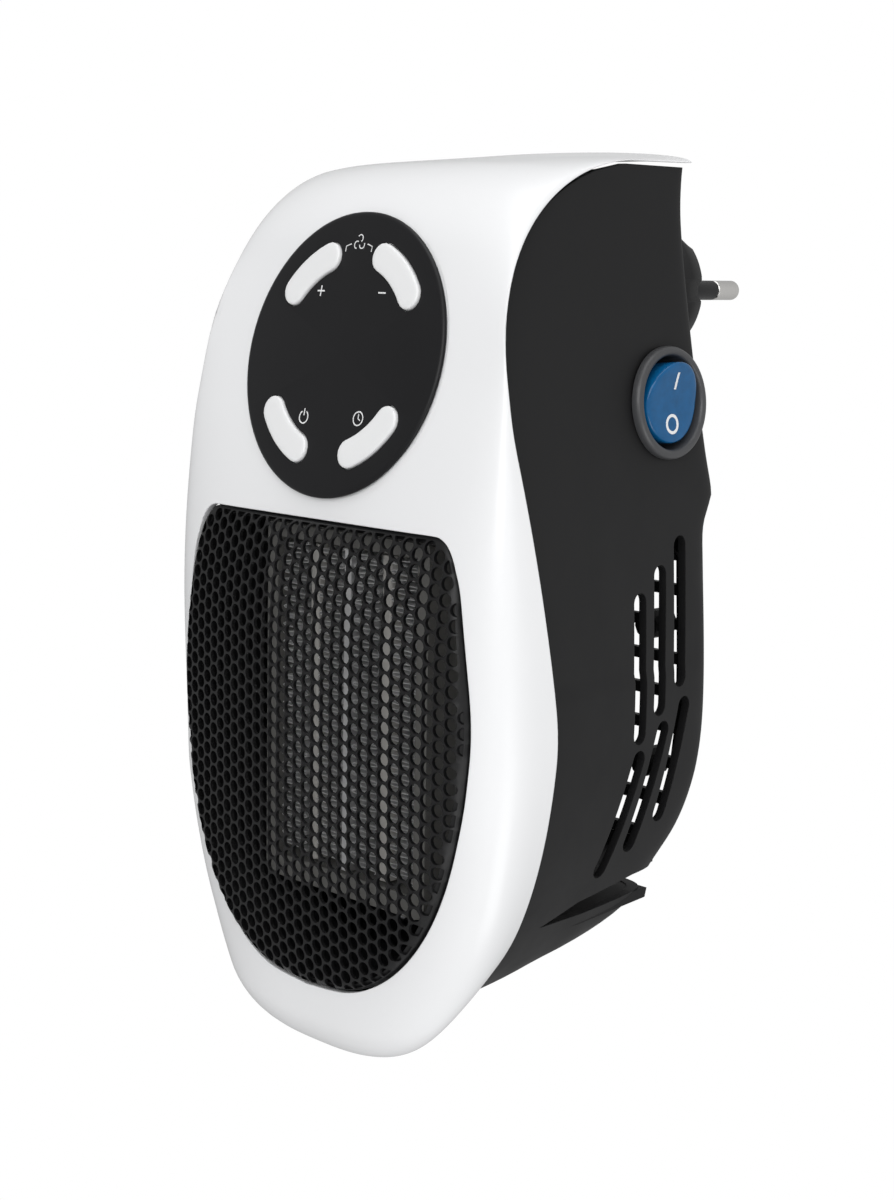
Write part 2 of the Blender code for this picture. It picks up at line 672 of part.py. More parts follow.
def rear_housing():
    housing = open_skin("rear_housing", housing_skin(), HOUSING_THICKNESS, "black_satin")
    boss = [(0, -45), (0, BOSS_FACE), (BOSS_RADIUS, BOSS_FACE), (BOSS_RADIUS, -45)]
    fuse(housing, turned("boss_tool", boss, 32, along_y, None))
    cut(housing, prism("cut_groove", GROOVE, -60, 60, along_x, None))
    liner = prism("groove_liner", GROOVE_LINER, -GROOVE_LINER_HALF, GROOVE_LINER_HALF, along_x, None)
    cut(liner, prism("cut_liner", LINER_GROOVE, -60, 60, along_x, None))
    fuse(housing, liner)
    hole = [(0, -60), (0, -20), (NECK_RADIUS + 0.4, -20), (NECK_RADIUS + 0.4, -60)]
    cut(housing, turned("cut_plug", hole, 30, along_y, None))
    middle = (0, (VENT_TOP + VENT_BOTTOM) / 2)
    vent = rounded_box(VENT_WIDTH, VENT_TOP - VENT_BOTTOM, 6, middle)
    cut(housing, prism("cut_vent", vent, -44, -20, along_y, None))
    for number, (start, end) in enumerate(SIDE_SLOTS):
        outline = capsule(start, end, SLOT_RADIUS)
        for side in (-1, 1):
            tool = prism(f"cut_slot_{number}_{side}", outline, side * 41, side * 60, along_x, None)
            cut(housing, tool)
    cut(housing, turned("cut_switch", [(0, -12), (0, 5), (11.6, 5), (11.6, -12)], 32, on_cheek, None))


def on_cheek(a, b, c):
    """Place for the switch: a is forward to back, b is up, c is out of the right cheek."""
    centre, along, up, out = cheek_axes()
    return tuple(centre + a * along + b * up + c * out)


@lru_cache(maxsize=None)
def cheek_axes():
    def surface(y, z):
        front_x, front_y = housing_seam(z)
        fraction = (y - front_y) / (lookup(z, BACK_LINE) - front_y)
        return np.array((front_x + (back_half_width(z) - front_x) * fraction, y, z))

    centre = surface(SWITCH_Y, SWITCH_Z)
    along = surface(SWITCH_Y + 8, SWITCH_Z) - surface(SWITCH_Y - 8, SWITCH_Z)
    along /= np.linalg.norm(along)
    up = surface(SWITCH_Y, SWITCH_Z + 8) - surface(SWITCH_Y, SWITCH_Z - 8)
    up -= along * np.dot(along, up)
    up /= np.linalg.norm(up)
    return centre, along, up, np.cross(along, up)


def across_cheek(up, out, ahead):
    """Like on_cheek, for an outline in (up, out) pushed along the cheek."""
    return on_cheek(ahead, up, out)


def back_cover():
    """Curved intake panel with horizontal openings, set in the housing's back."""
    levels = np.linspace(VENT_TOP - GAP, VENT_BOTTOM + GAP, 9)
    outer = [(cover_face(z), z) for z in levels]
    inner = [(y - COVER_THICKNESS, z) for y, z in reversed(outer)]
    half = VENT_WIDTH / 2 - GAP
    cover = prism("back_cover", outer + inner, -half, half, along_x, "black_satin")
    middle = (0, (VENT_TOP + VENT_BOTTOM) / 2)
    outline = rounded_box(VENT_WIDTH - 2 * GAP, VENT_TOP - VENT_BOTTOM - 2 * GAP, 5.7, middle)
    boolean(cover, prism("cover_corners", outline, -50, -20, along_y, None), "INTERSECT")
    number = 0
    for z in np.arange(VENT_TOP - 6.5, VENT_BOTTOM + 3.5, -INTAKE_PITCH):
        low, high = z - INTAKE_HALF_HEIGHT, z + INTAKE_HALF_HEIGHT
        for left, right in ((-INTAKE_HALF_WIDTH, -INTAKE_RIB), (INTAKE_RIB, INTAKE_HALF_WIDTH)):
            cut(cover, block(f"cut_intake_{number}", (left, -44, low), (right, -24, high), None))
            number += 1
    for k, (x, z) in enumerate(COVER_SCREWS):
        top = cover_face(z) - 0.3
        boss = [(0, -38), (0, top), (3.4, top), (3.4, -38)]
        fuse(cover, turned(f"cover_boss_{k}", boss, 12, shifted_y(x, z), None))
        seat = cover_face(z) - SCREW_RECESS
        hole = [(0, -40), (0, -25), (2.7, -25), (2.7, seat), (1.5, seat), (1.5, -40)]
        cut(cover, turned(f"cover_hole_{k}", hole, 10, shifted_y(x, z), None))


def cover_face(z):
    """y of the intake panel's outer face."""
    return lookup(z, BACK_LINE) - COVER_RECESS


def shifted_y(x0, z0):
    """Place with its third axis along Y, centred at (x0, z0)."""
    return lambda a, b, c: (x0 + a, c, z0 + b)


def screw(name, place, seat, length, radius=1.2, head=2.3, look="steel"):
    """A small screw: a domed head at the seat and a plain shank going down from it."""
    profile = [(0, seat + 1.4), (0, seat - length), (radius, seat - length + 0.8), (radius, seat),
               (head, seat), (head * 0.9, seat + 0.9)]
    turned(name, profile, 10, place, look)


# ================================================================ plug
def plug_section(y, radius, flat, notch, sides=32):
    outline = []
    for i in range(sides):
        angle = 2 * math.pi * (i + 0.5) / sides
        x = radius * math.cos(angle)
        z = max(-flat, min(flat, radius * math.sin(angle)))
        if abs(z) < 2.6:
            x -= math.copysign(notch, x)
        outline.append((x, y, z))
    return outline


def plug_body():
    sections = [(0, 15.4, 9.6, 1.6), (-6, PLUG_RADIUS, PLUG_FLAT, 1.6),
                (-24, PLUG_RADIUS, PLUG_FLAT, 1.6),
                (-24.6, PLUG_RADIUS, PLUG_FLAT, 0), (-PLUG_DEPTH, PLUG_RADIUS, PLUG_FLAT, 0)]
    rings = [plug_section(*section) for section in sections]
    points = [p for ring in rings for p in ring]
    sides = len(rings[0])
    faces = [tuple(range(sides)), tuple(range(len(points) - 1, len(points) - sides - 1, -1))]
    for r in range(len(rings) - 1):
        a, b = r * sides, (r + 1) * sides
        faces += [(a + i, a + (i + 1) % sides, b + (i + 1) % sides, b + i) for i in range(sides)]
    plug = solid("plug_body", points, faces, "black_satin")
    neck = [(0, -20), (0, NECK_END), (NECK_RADIUS, NECK_END), (NECK_RADIUS, -20)]
    fuse(plug, turned("neck_tool", neck, 32, along_y, None))
    hollow = [(0, -27.5), (0, -60), (CAVITY_RADIUS, -60), (CAVITY_RADIUS, -27.5)]
    cut(plug, turned("cut_neck", hollow, 24, along_y, None))
    for side in (-1, 1):
        bore = [(0, 5), (0, -28.6), (PIN_RADIUS + 0.3, -28.6), (PIN_RADIUS + 0.3, 5)]
        cut(plug, turned(f"cut_pin_{side}", bore, 16, shifted_y(side * PIN_SPACING / 2, 0), None))


def pins():
    for side, name in ((-1, "left"), (1, "right")):
        place = shifted_y(side * PIN_SPACING / 2, 0)
        profile = [(0, PIN_LENGTH), (0, -PIN_SHANK), (1.7, -PIN_SHANK), (1.7, SLEEVE_END + GAP),
                   (PIN_RADIUS, SLEEVE_END + GAP), (PIN_RADIUS, PIN_LENGTH - 1.6),
                   (PIN_RADIUS * 0.8, PIN_LENGTH - 0.5), (PIN_RADIUS * 0.45, PIN_LENGTH)]
        turned(f"pin_{name}", profile, 16, place, "nickel")
        sleeve = [(2.0, SLEEVE_END), (2.0, -8), (PIN_RADIUS, -8), (PIN_RADIUS, SLEEVE_END)]
        turned(f"pin_sleeve_{name}", sleeve, 16, place, "black_mesh")


def swivel_retainer():
    """Ring screwed to the end of the neck, which keeps the plug in the boss."""
    outer = BOSS_RADIUS - 2.5
    profile = [(CAVITY_RADIUS, NECK_END - GAP), (CAVITY_RADIUS, NECK_END - 2.3), (outer, NECK_END - 2.3),
               (outer, NECK_END - GAP)]
    ring = turned("swivel_retainer", profile, 32, along_y, "grey_plastic")
    for name, degrees in RETAINER_SCREW_ANGLES.items():
        x = RETAINER_SCREW_RING * math.cos(math.radians(degrees))
        z = RETAINER_SCREW_RING * math.sin(math.radians(degrees))
        hole = [(0, -36), (0, -52), (1.15, -52), (1.15, -36)]
        tool = turned(f"cut_{name}", hole, 10, shifted_y(x, z), None)
        cut(ring, tool)
        cut(bpy.data.objects["plug_body"], tool)
        screw(name, flipped_y(x, z), -NECK_END + 2.3 + GAP, 8, 0.85, 1.6)


def flipped_y(x0, z0):
    """Like shifted_y, with its third axis along -Y."""
    return lambda a, b, c: (x0 + a, -c, z0 - b)


# ================================================================ control panel
def key_outline(centre_angle, grow=0.0, steps=6):
    """Arc-shaped key with round ends, on the panel's key ring."""
    half = KEY_WIDTH / 2 + grow
    start = math.radians(centre_angle - KEY_SPAN) + half / KEY_RING - grow / KEY_RING
    end = math.radians(centre_angle + KEY_SPAN) - half / KEY_RING + grow / KEY_RING
    outline = []
    for k in range(steps + 1):
        angle = start + (end - start) * k / steps
        outline.append(((KEY_RING + half) * math.cos(angle), (KEY_RING + half) * math.sin(angle)))
    outline += end_cap(end, half, 1)
    for k in range(steps + 1):
        angle = end + (start - end) * k / steps
        outline.append(((KEY_RING - half) * math.cos(angle), (KEY_RING - half) * math.sin(angle)))
    outline += end_cap(start, half, -1)
    return outline


def end_cap(angle, half, way, steps=4):
    """Points of the round end of a key, without its two corners."""
    centre = (KEY_RING * math.cos(angle), KEY_RING * math.sin(angle))
    first = angle if way > 0 else angle + math.pi
    turns = [first + math.pi * k / steps for k in range(1, steps)]
    return [(centre[0] + half * math.cos(t), centre[1] + half * math.sin(t)) for t in turns]


def control_panel():
    rim = [(0, PANEL_BACK), (0, 0), (PANEL_RADIUS - 0.6, 0), (PANEL_RADIUS, -0.4),
           (PANEL_RADIUS, PANEL_BACK)]
    panel = turned("control_panel", rim, 48, on_panel, "panel_black")
    for name, angle in KEY_ANGLES.items():
        cut(panel, prism(f"cut_{name}", key_outline(angle, 0.35), -3, 3, on_panel, None))


def keys():
    """Four keys, each with a cap, a hidden flange and a stem over its switch."""
    for name, angle in KEY_ANGLES.items():
        x = KEY_RING * math.cos(math.radians(angle))
        y = KEY_RING * math.sin(math.radians(angle))
        origin = on_panel(x, y, 0)
        cap = prism(name, key_outline(angle), -2.4, KEY_PROUD, on_panel, "key_white", origin)
        flange = prism(f"{name}_flange", key_outline(angle, 0.8), -3.2, -1.5, on_panel, None)
        fuse(cap, flange)
        stem = [(0, -5.0), (0, -3), (1.6, -3), (1.6, -5.0)]
        fuse(cap, turned(f"{name}_stem", stem, 10, panel_spot(x, y), None))


def control_board():
    board = prism("control_board", rounded_box(50, 50, 10), -11.0, -9.4, on_panel, "board_green")
    for k, (x, y) in enumerate(BOARD_SCREWS):
        hole = [(0, -14), (0, -6), (1.5, -6), (1.5, -14)]
        cut(board, turned(f"cut_board_{k}", hole, 10, panel_spot(x, y), None))
        screw(f"board_screw_{k + 1}", panel_spot(x, y, -1), 11.3, 4, 1.1, 2.1)
    for name, angle in KEY_ANGLES.items():
        x = KEY_RING * math.cos(math.radians(angle)) * 0.94
        y = KEY_RING * math.sin(math.radians(angle)) * 0.94
        body = rounded_box(5.6, 5.6, 0.6, (x, y), 1)
        prism(name.replace("key", "tact_switch"), body, -9.1, -6.2, on_panel, "grey_plastic")
    prism("display_module", rounded_box(24, 11, 1, (0, 1), 1), -9.1, -3.6, on_panel, "panel_black")


# ================================================================ rocker switch
def rocker_switch():
    profile = [(10.4, 2.4), (10.4, -13), (0, -13), (0, -15), (11.2, -15), (11.2, 0.9), (BEZEL_RADIUS, 0.9),
               (BEZEL_RADIUS, 1.9), (BEZEL_RADIUS - 0.6, 2.4)]
    turned("switch_body", profile, 36, on_cheek, "grey_plastic")
    pivot = on_cheek(0, 0, -ROCKER_PIVOT_DEPTH)
    level = [(-8.9, 1.7), (-8.7, 3.7), (0, 2.3), (8.7, 3.7), (8.9, 1.7), (5.5, -4.5), (-5.5, -4.5)]
    c, s = math.cos(ROCKER_TILT), math.sin(ROCKER_TILT)
    tilted = [(up * c - out * s, out * c + up * s - ROCKER_PIVOT_DEPTH) for up, out in level]
    rocker = prism("switch_rocker", tilted, -9.3, 9.3, across_cheek, "blue_clear", pivot)
    ring = turned("rocker_round", [(0, 9), (0, -12), (8.9, -12), (8.9, 9)], 32, on_cheek, None)
    boolean(rocker, ring, "INTERSECT")
    for up, name in ((-4, "switch_terminal_load"), (4, "switch_terminal_line")):
        tab = [(-2.4, up - 0.4), (2.4, up - 0.4), (2.4, up + 0.4), (-2.4, up + 0.4)]
        prism(name, tab, -15.3, -22.5, on_cheek, "brass")


# ================================================================ heater core
def fin_strip(name, x_low, x_high):
    """A folded aluminium strip: a zigzag of thin webs between its two sides."""
    half = 0.9
    count = int(2 * CORE_HALF_HEIGHT / FIN_PITCH)
    top = CORE_CENTRE_Z + CORE_HALF_HEIGHT - 0.6
    step = (2 * CORE_HALF_HEIGHT - 1.2) / (2 * count)
    turns = (x_low + half, x_high - half)
    path = [(turns[k % 2], top - k * step) for k in range(2 * count + 1)]
    right = [(x + half, z) for x, z in path]
    left = [(x - half, z) for x, z in reversed(path)]
    prism(name, right + left, CORE_FRONT + 0.4, CORE_BACK - 0.4, along_y, "aluminium")


def heater_core():
    low = CORE_CENTRE_Z - CORE_HALF_HEIGHT
    high = CORE_CENTRE_Z + CORE_HALF_HEIGHT
    outer = rounded_box(54, 85, 3, (0, CORE_CENTRE_Z))
    frame = prism("heater_frame", outer, CORE_FRONT - 0.8, CORE_BACK + 0.6, along_y, "frame_plastic")
    inner = [(-23.4, low - 0.3), (23.4, low - 0.3), (23.4, high + 0.3), (-23.4, high + 0.3)]
    cut(frame, prism("cut_frame", inner, -110, -80, along_y, None))
    fin_strip("fin_strip_1", -22.6, -13.8)
    fin_strip("fin_strip_2", -10.2, -1.6)
    fin_strip("fin_strip_3", 1.6, 10.2)
    fin_strip("fin_strip_4", 13.8, 22.6)
    for name, x in (("ptc_element_left", -12.0), ("ptc_element_right", 12.0)):
        near = (x - 1.4, CORE_FRONT + 0.6, low + 0.4)
        far = (x + 1.4, CORE_BACK - 0.6, high - 0.4)
        block(name, near, far, "ceramic")
    block("centre_electrode", (-1.1, CORE_FRONT, low + 0.2), (1.1, CORE_BACK, high - 0.2), "aluminium")


def air_duct():
    """Tapered channel from the fan ring to the heater frame."""
    front_y, back_y = CORE_BACK + 0.9, FAN_FRONT - 2.3
    rings = []
    for inset in (0, 1.6):
        for y, middle, width, height in ((front_y, CORE_CENTRE_Z, 54, 85), (back_y, FAN_CENTRE_Z, 76, 74)):
            x, z = width / 2 - inset, height / 2 - inset
            rings.append([(-x, y, middle - z), (x, y, middle - z), (x, y, middle + z), (-x, y, middle + z)])
    points = [p for ring in rings for p in ring]
    faces = []
    for i in range(4):
        n = (i + 1) % 4
        faces += [(i, n, 4 + n, 4 + i), (8 + i, 12 + i, 12 + n, 8 + n)]
        faces += [(i, 8 + i, 8 + n, n), (4 + i, 4 + n, 12 + n, 12 + i)]
    solid("air_duct", points, faces, "grey_plastic")


# ================================================================ fan
def fan():
    shroud_outline = rounded_box(78, 76, 5, (0, FAN_CENTRE_Z))
    shroud = prism("fan_shroud", shroud_outline, FAN_FRONT - 2, FAN_FRONT, along_y, "grey_plastic")
    place = shifted_y(0, FAN_CENTRE_Z)
    ring = [(FAN_RADIUS + 1.2, FAN_FRONT - 1), (FAN_RADIUS + 1.2, -55), (FAN_RADIUS + 2.8, -55),
            (FAN_RADIUS + 2.8, FAN_FRONT - 1)]
    fuse(shroud, turned("shroud_ring", ring, 36, place, None))
    for k in range(3):
        angle = math.pi / 2 + k * 2 * math.pi / 3
        fuse(shroud, strut(f"shroud_strut_{k}", angle))
    hub_seat = [(7.4, -58.5), (7.4, -55), (14, -55), (14, -58.5)]
    fuse(shroud, turned("shroud_hub", hub_seat, 24, place, None))
    bore = [(0, -83), (0, -63.5), (FAN_RADIUS + 1.2, -63.5), (FAN_RADIUS + 1.2, -83)]
    cut(shroud, turned("cut_shroud", bore, 36, place, None))
    impeller(place)
    motor(place)


def strut(name, angle):
    """A spoke from the motor seat to the shroud ring."""
    c, s = math.cos(angle), math.sin(angle)
    inner, outer, half = 12.5, FAN_RADIUS + 2, 1.8
    corners = [(inner, -half), (outer, -half), (outer, half), (inner, half)]
    outline = [(r * c - t * s, FAN_CENTRE_Z + r * s + t * c) for r, t in corners]
    return prism(name, outline, -58.4, -55.1, along_y, None)


def impeller(place):
    hub = [(1.35, -74), (1.35, -62), (11, -62), (11, -72), (8.5, -74)]
    wheel = turned("fan_impeller", hub, 28, place, "grey_plastic", (0, IMPELLER_Y, FAN_CENTRE_Z))
    for k in range(FAN_BLADES):
        fuse(wheel, blade(f"blade_{k}", 2 * math.pi * k / FAN_BLADES))


def blade(name, angle):
    """A pitched blade: a thin slab that twists from root to tip."""
    points = []
    for radius, chord, pitch in ((10, 9, 50), (22, 11, 38), (FAN_RADIUS - 0.6, 12, 30)):
        lean = math.radians(pitch)
        for along, across in ((-0.5, -0.6), (0.5, -0.6), (0.5, 0.6), (-0.5, 0.6)):
            u = chord * along * math.cos(lean) - across * math.sin(lean)
            w = chord * along * math.sin(lean) + across * math.cos(lean)
            turn = angle + u / radius
            points.append((radius * math.cos(turn), IMPELLER_Y + w, FAN_CENTRE_Z + radius * math.sin(turn)))
    faces = [(0, 1, 2, 3), (11, 10, 9, 8)]
    for r in (0, 4):
        faces += [(r + i, r + (i + 1) % 4, r + 4 + (i + 1) % 4, r + 4 + i) for i in range(4)]
    return solid(name, points, faces, None)


def motor(place):
    body = [(3.6, -60.4), (7, -60.4), (7, -54.7), (12.6, -54.7), (12.6, -44.6), (3.6, -44.6)]
    turned("motor_can", body, 28, place, "steel")
    for name, low, high in (("motor_bush_front", -60.6, -55), ("motor_bush_rear", -50, -45)):
        turned(name, [(1.35, low), (3.3, low), (3.3, high), (1.35, high)], 18, place, "brass")
    shaft = [(0, -73), (0, -44.4), (1.05, -44.4), (1.05, -73)]
    turned("motor_shaft", shaft, 14, place, "steel", (0, IMPELLER_Y, FAN_CENTRE_Z))


# ================================================================ electronics
def main_board():
    board = block("main_board", (-37, -73.6, -40), (37, -72, 19), "board_green")
    for k, (x, z) in enumerate(MAIN_SCREWS):
        hole = [(0, -76), (0, -70), (1.5, -70), (1.5, -76)]
        cut(board, turned(f"cut_main_{k}", hole, 10, shifted_y(x, z), None))
        screw(f"main_board_screw_{k + 1}", shifted_y(x, z), -71.7, 5, 1.1, 2.1)
    block("relay", (-30, -88, -36), (-14, -73.9, -18), "relay_blue")
    place = shifted_y(6, -8)
    turned("film_capacitor", [(0, -73.9), (0, -86), (5, -86), (5, -73.9)], 18, place, "capacitor_yellow")
    block("thermal_cutout", (-9, -96, -48.8), (9, -88, -44), "black_satin")
    fuse_place = shifted_x(-66, -47)
    turned("thermal_fuse", [(0, 10), (0, 22), (1.8, 22), (1.8, 10)], 12, fuse_place, "nickel")


def shifted_x(y0, z0):
    """Place with its third axis along X, centred at (y0, z0)."""
    return lambda a, b, c: (c, y0 + a, z0 + b)


def lead(name, route, look, radius=1.1):
    """A short internal lead: a round tube along a smooth route."""
    curve = bpy.data.curves.new(name, "CURVE")
    curve.dimensions = "3D"
    curve.bevel_depth = radius * MM
    curve.bevel_resolution = 2
    curve.use_fill_caps = True
    spline = curve.splines.new("POLY")
    points = smooth_curve(route, 14)
    spline.points.add(len(points) - 1)
    for slot, point in zip(spline.points, points):
        slot.co = (*(point * MM), 1.0)
    curve.materials.append(material(look))
    obj = bpy.data.objects.new(name, curve)
    bpy.context.scene.collection.objects.link(obj)


def leads():
    lead("lead_live", [(4, -31, 2), (4, -44, 2), (9, -56, 4), (20, -66, 4), (20, -70.5, 3)], "wire_brown")
    route = [(-4, -31, 2), (-4, -44, 2), (-9, -56, 4), (-16, -66, 4), (-16, -70.5, 3)]
    lead("lead_neutral", route, "wire_blue")


def case_screws():
    """Screws that hold the white shell to the housing, inside the corners."""
    for k, (x, z, seat) in enumerate(CASE_SCREWS):
        screw(f"case_screw_{k + 1}", shifted_y(x, z), seat, 12, 1.3, 2.4)
    for k, (x, z) in enumerate(COVER_SCREWS):
        screw(f"cover_screw_{k + 1}", shifted_y(x, z), cover_face(z) - SCREW_RECESS + GAP, 6.5, 1.1, 2.2)


def build():
    clear_scene()
    front_shell()
    rear_housing()
    back_cover()
    front_grille()
    plug_body()
    pins()
    swivel_retainer()
    control_panel()
    keys()
    control_board()
    rocker_switch()
    heater_core()
    air_duct()
    fan()
    main_board()
    leads()
    case_screws()


build()
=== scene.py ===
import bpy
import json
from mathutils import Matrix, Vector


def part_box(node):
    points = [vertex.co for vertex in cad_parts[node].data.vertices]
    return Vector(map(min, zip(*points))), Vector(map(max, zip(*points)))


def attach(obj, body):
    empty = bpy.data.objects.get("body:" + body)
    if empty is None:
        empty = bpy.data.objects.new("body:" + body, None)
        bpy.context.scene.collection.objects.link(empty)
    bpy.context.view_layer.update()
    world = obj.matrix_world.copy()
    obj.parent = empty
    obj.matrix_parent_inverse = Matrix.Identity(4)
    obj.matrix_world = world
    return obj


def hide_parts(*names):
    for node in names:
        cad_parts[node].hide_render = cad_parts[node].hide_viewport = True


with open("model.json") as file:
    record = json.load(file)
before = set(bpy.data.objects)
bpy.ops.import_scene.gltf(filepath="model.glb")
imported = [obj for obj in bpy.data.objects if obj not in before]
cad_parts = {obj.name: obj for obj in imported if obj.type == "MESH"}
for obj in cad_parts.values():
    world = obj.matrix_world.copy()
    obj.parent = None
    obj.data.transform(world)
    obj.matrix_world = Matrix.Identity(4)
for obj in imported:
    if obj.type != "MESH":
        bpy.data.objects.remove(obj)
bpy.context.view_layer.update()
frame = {"nodes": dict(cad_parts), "record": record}

import json
import math

import bmesh
import bpy
import numpy as np
from mathutils import Matrix, Vector
from mathutils.geometry import delaunay_2d_cdt

# Looks for the plug-in ceramic fan heater. Lengths are in millimetres until made() turns them into metres.
MM = 0.001
NODES = frame["nodes"]

# ---------------------------------------------------------------- driving curves, as in the CAD source
SHELL_THICKNESS = 1.8
HOUSING_THICKNESS = 2.0
SEAM_INSET = 3.0               # the dark housing sits this far inside the white shell
SEAM_SETBACK = 1.0             # and its front edge this far behind the shell's
EGG_CENTRE = -84.0             # height of the widest place
EGG_HALF_WIDTH = 55.5
EGG_SQUARENESS = 2.4           # exponent of the curve below the widest place
EGG_RISE = 146.0               # the upper curve would close this far above the widest place
TOP_HALF_WIDTH = 42.0
DECK_BACK = -38.5              # depth of the top's rear edge
DECK_HEIGHT = 31.5
DECK_SLOPE = math.radians(5.5)
FACE_TOP = 16.0                # the face begins at this height, under the shoulder
PANEL_SETBACK = 1.0            # the white face lies this far behind the panel's face
SHOULDER_RADIUS = 24.0
BELLY_DEPTH = -111.5           # foremost depth of the white shell
BELLY_RADIUS = 240.0
BELLY_LOW = -134.0
CHIN_DEPTH = -112.5
CHIN_LOW = -173.15             # a touch high, as the CAD's facets cut the chin's arc short
CHIN_RADIUS = 8.0
CHIN_BACK = -97.0
CHIN_RISE = 4.5                # how much the underside rises from the chin to its rear edge
SEAM_DROP = 3.0                # the white shell's side edge starts this far below its top
SEAM_FRONT = -102.5            # foremost depth of that edge, beside the panel
SEAM_SHOULDER_RADIUS = 46.0
SEAM_BEND_RADIUS = 60.0
SEAM_BEND_HEIGHT = -28.0
SEAM_WAIST = -90.5             # rearmost depth of that edge, at the widest place
SEAM_CHIN = -93.0
SEAM_CHIN_HEIGHT = -140.0
SEAM_LOW = -165.5
# Squareness of the white shell's cross-section, (height, exponent).
ROUNDNESS = ((-172, 2.6), (-150, 3.2), (-115, 4.5), (-30, 4.5), (5, 2.7), (32, 2.1))
# Share of the rows used up at each share of the length, so that bends get more of them.
ROW_SHARES = (0, 0.12, 0.36, 0.6, 0.8, 0.92, 1)
ROW_STOPS = (0, 0.15, 0.28, 0.7, 0.9, 0.98, 1)
# Back of the dark housing on its centre line, (z, y), from the top down.
BACK_LINE = ((28.2, -38.4), (14, -38.8), (-12, -35.4), (-34, -31), (-44.6, -28.4), (-48, -29.4),
             (-53, -31.2), (-62, -31), (-85, -29.6), (-101, -29.6), (-113, -31.6), (-122, -34.8),
             (-131, -40.2), (-140, -42.5), (-148, -54), (-156, -73), (-162.5, -95.5))
BACK_HALF_WIDTH = 45.5         # half width of the dark housing at its back
BACK_SQUARENESS = 3.0
BACK_TAPER = 5.0               # how much narrower the back is at its top
BACK_TAPER_HEIGHT = 112.0

GRILLE_HALF_WIDTH = 47.5
GRILLE_TOP = -50.0
GRILLE_BOTTOM = -155.0
GRILLE_BULGE = 4.5
MESH_PITCH = 3.4
MESH_HOLE = 1.5
MESH_RIM = 0.55
MESH_ROLL = 2.4                # width of the rounded edge of the outlet's sheet
MESH_THICKNESS = 0.9

PANEL_CENTRE = np.array((0.0, -104.05, -14.3))
PANEL_TILT = math.radians(12.7)
PANEL_RADIUS = 31.6
KEY_RING = 23.0
KEY_ANGLES = {"key_plus": 128, "key_minus": 52, "key_power": 232, "key_timer": 308}
KEY_SPAN = 24
KEY_WIDTH = 6.4
KEY_PROUD = 0.7
LEGEND_SIZE = 1.2              # half length of the plus and minus marks
LEGEND_WIDTH = 0.34

SWITCH_Y = -47.5
SWITCH_Z = -24.0
BEZEL_RADIUS = 12.5
ROCKER_TILT = math.radians(10)
ROCKER_PIVOT_DEPTH = 0.5
ROCKER_RADIUS = 8.9
MARK_WIDTH = 0.7               # of the two marks on the rocker

GROOVE = ((-81, -138.2), (-70, -134.4), (-51, -131.6), (-38, -131), (-38, -136.6), (-48.7, -136.7),
          (-66.6, -138))
GROOVE_LINER = ((-85, -141), (-84, -137.4), (-71, -132.2), (-52, -129.3), (-40.5, -129),
                (-43.4, -139), (-66, -141))
LINER_GROOVE = ((-81.6, -138.5), (-70, -134.2), (-51, -131.4), (-38, -130.8), (-38, -136.8),
                (-48.7, -136.9), (-66.6, -138.3))
SIDE_SLOTS = (((-57.9, -67.5), (-57.4, -97)), ((-50.3, -62), (-50, -91.5)), ((-42.8, -56), (-42, -86)),
              ((-57, -103), (-65.2, -127)), ((-48.2, -97.5), (-56, -122.5)), ((-40, -93), (-46.2, -117)))
SLOT_RADIUS = 2.3
VENT = (79.0, -57.5, -126.5)       # width, top, bottom
BOSS_RADIUS = 19.5
BOSS_FACE = -34.0
NECK_RADIUS = 14.0
PLUG_RADIUS = 17.5
PLUG_FLAT = 14.2               # half height between the plug's two flats
PIN_OFFSET = 9.5               # half the distance between the pins
PIN_RADIUS = 2.4

CORE_Z = -94.0
CORE_HALF_HEIGHT = 37.0
CORE_FRONT = -101.0
CORE_BACK = -86.5
FIN_RANGES = ((-22.6, -13.8), (-10.2, -1.6), (1.6, 10.2), (13.8, 22.6))
BAR_OFFSET = 12.0              # of each heating bar from the middle


# ================================================================ materials
def tree_of(name):
    made = bpy.data.materials.new(name)
    made.use_nodes = True
    nodes = made.node_tree.nodes
    return made, nodes, made.node_tree.links, nodes["Principled BSDF"]


def noise(nodes, links, coords, scale, detail=3.0, roughness=0.55):
    node = nodes.new("ShaderNodeTexNoise")
    node.inputs["Scale"].default_value = scale
    node.inputs["Detail"].default_value = detail
    node.inputs["Roughness"].default_value = roughness
    links.new(coords, node.inputs["Vector"])
    return node.outputs["Fac"]


def spread(nodes, links, source, low, high):
    """Map a noise value onto a range."""
    node = nodes.new("ShaderNodeMapRange")
    node.inputs["From Min"].default_value = 0.3
    node.inputs["From Max"].default_value = 0.7
    node.inputs["To Min"].default_value = low
    node.inputs["To Max"].default_value = high
    links.new(source, node.inputs["Value"])
    return node.outputs["Result"]


def two_tone(nodes, links, factor, first, second):
    node = nodes.new("ShaderNodeMix")
    node.data_type = "RGBA"
    node.inputs["A"].default_value = (*first, 1)
    node.inputs["B"].default_value = (*second, 1)
    links.new(factor, node.inputs["Factor"])
    return node.outputs["Result"]


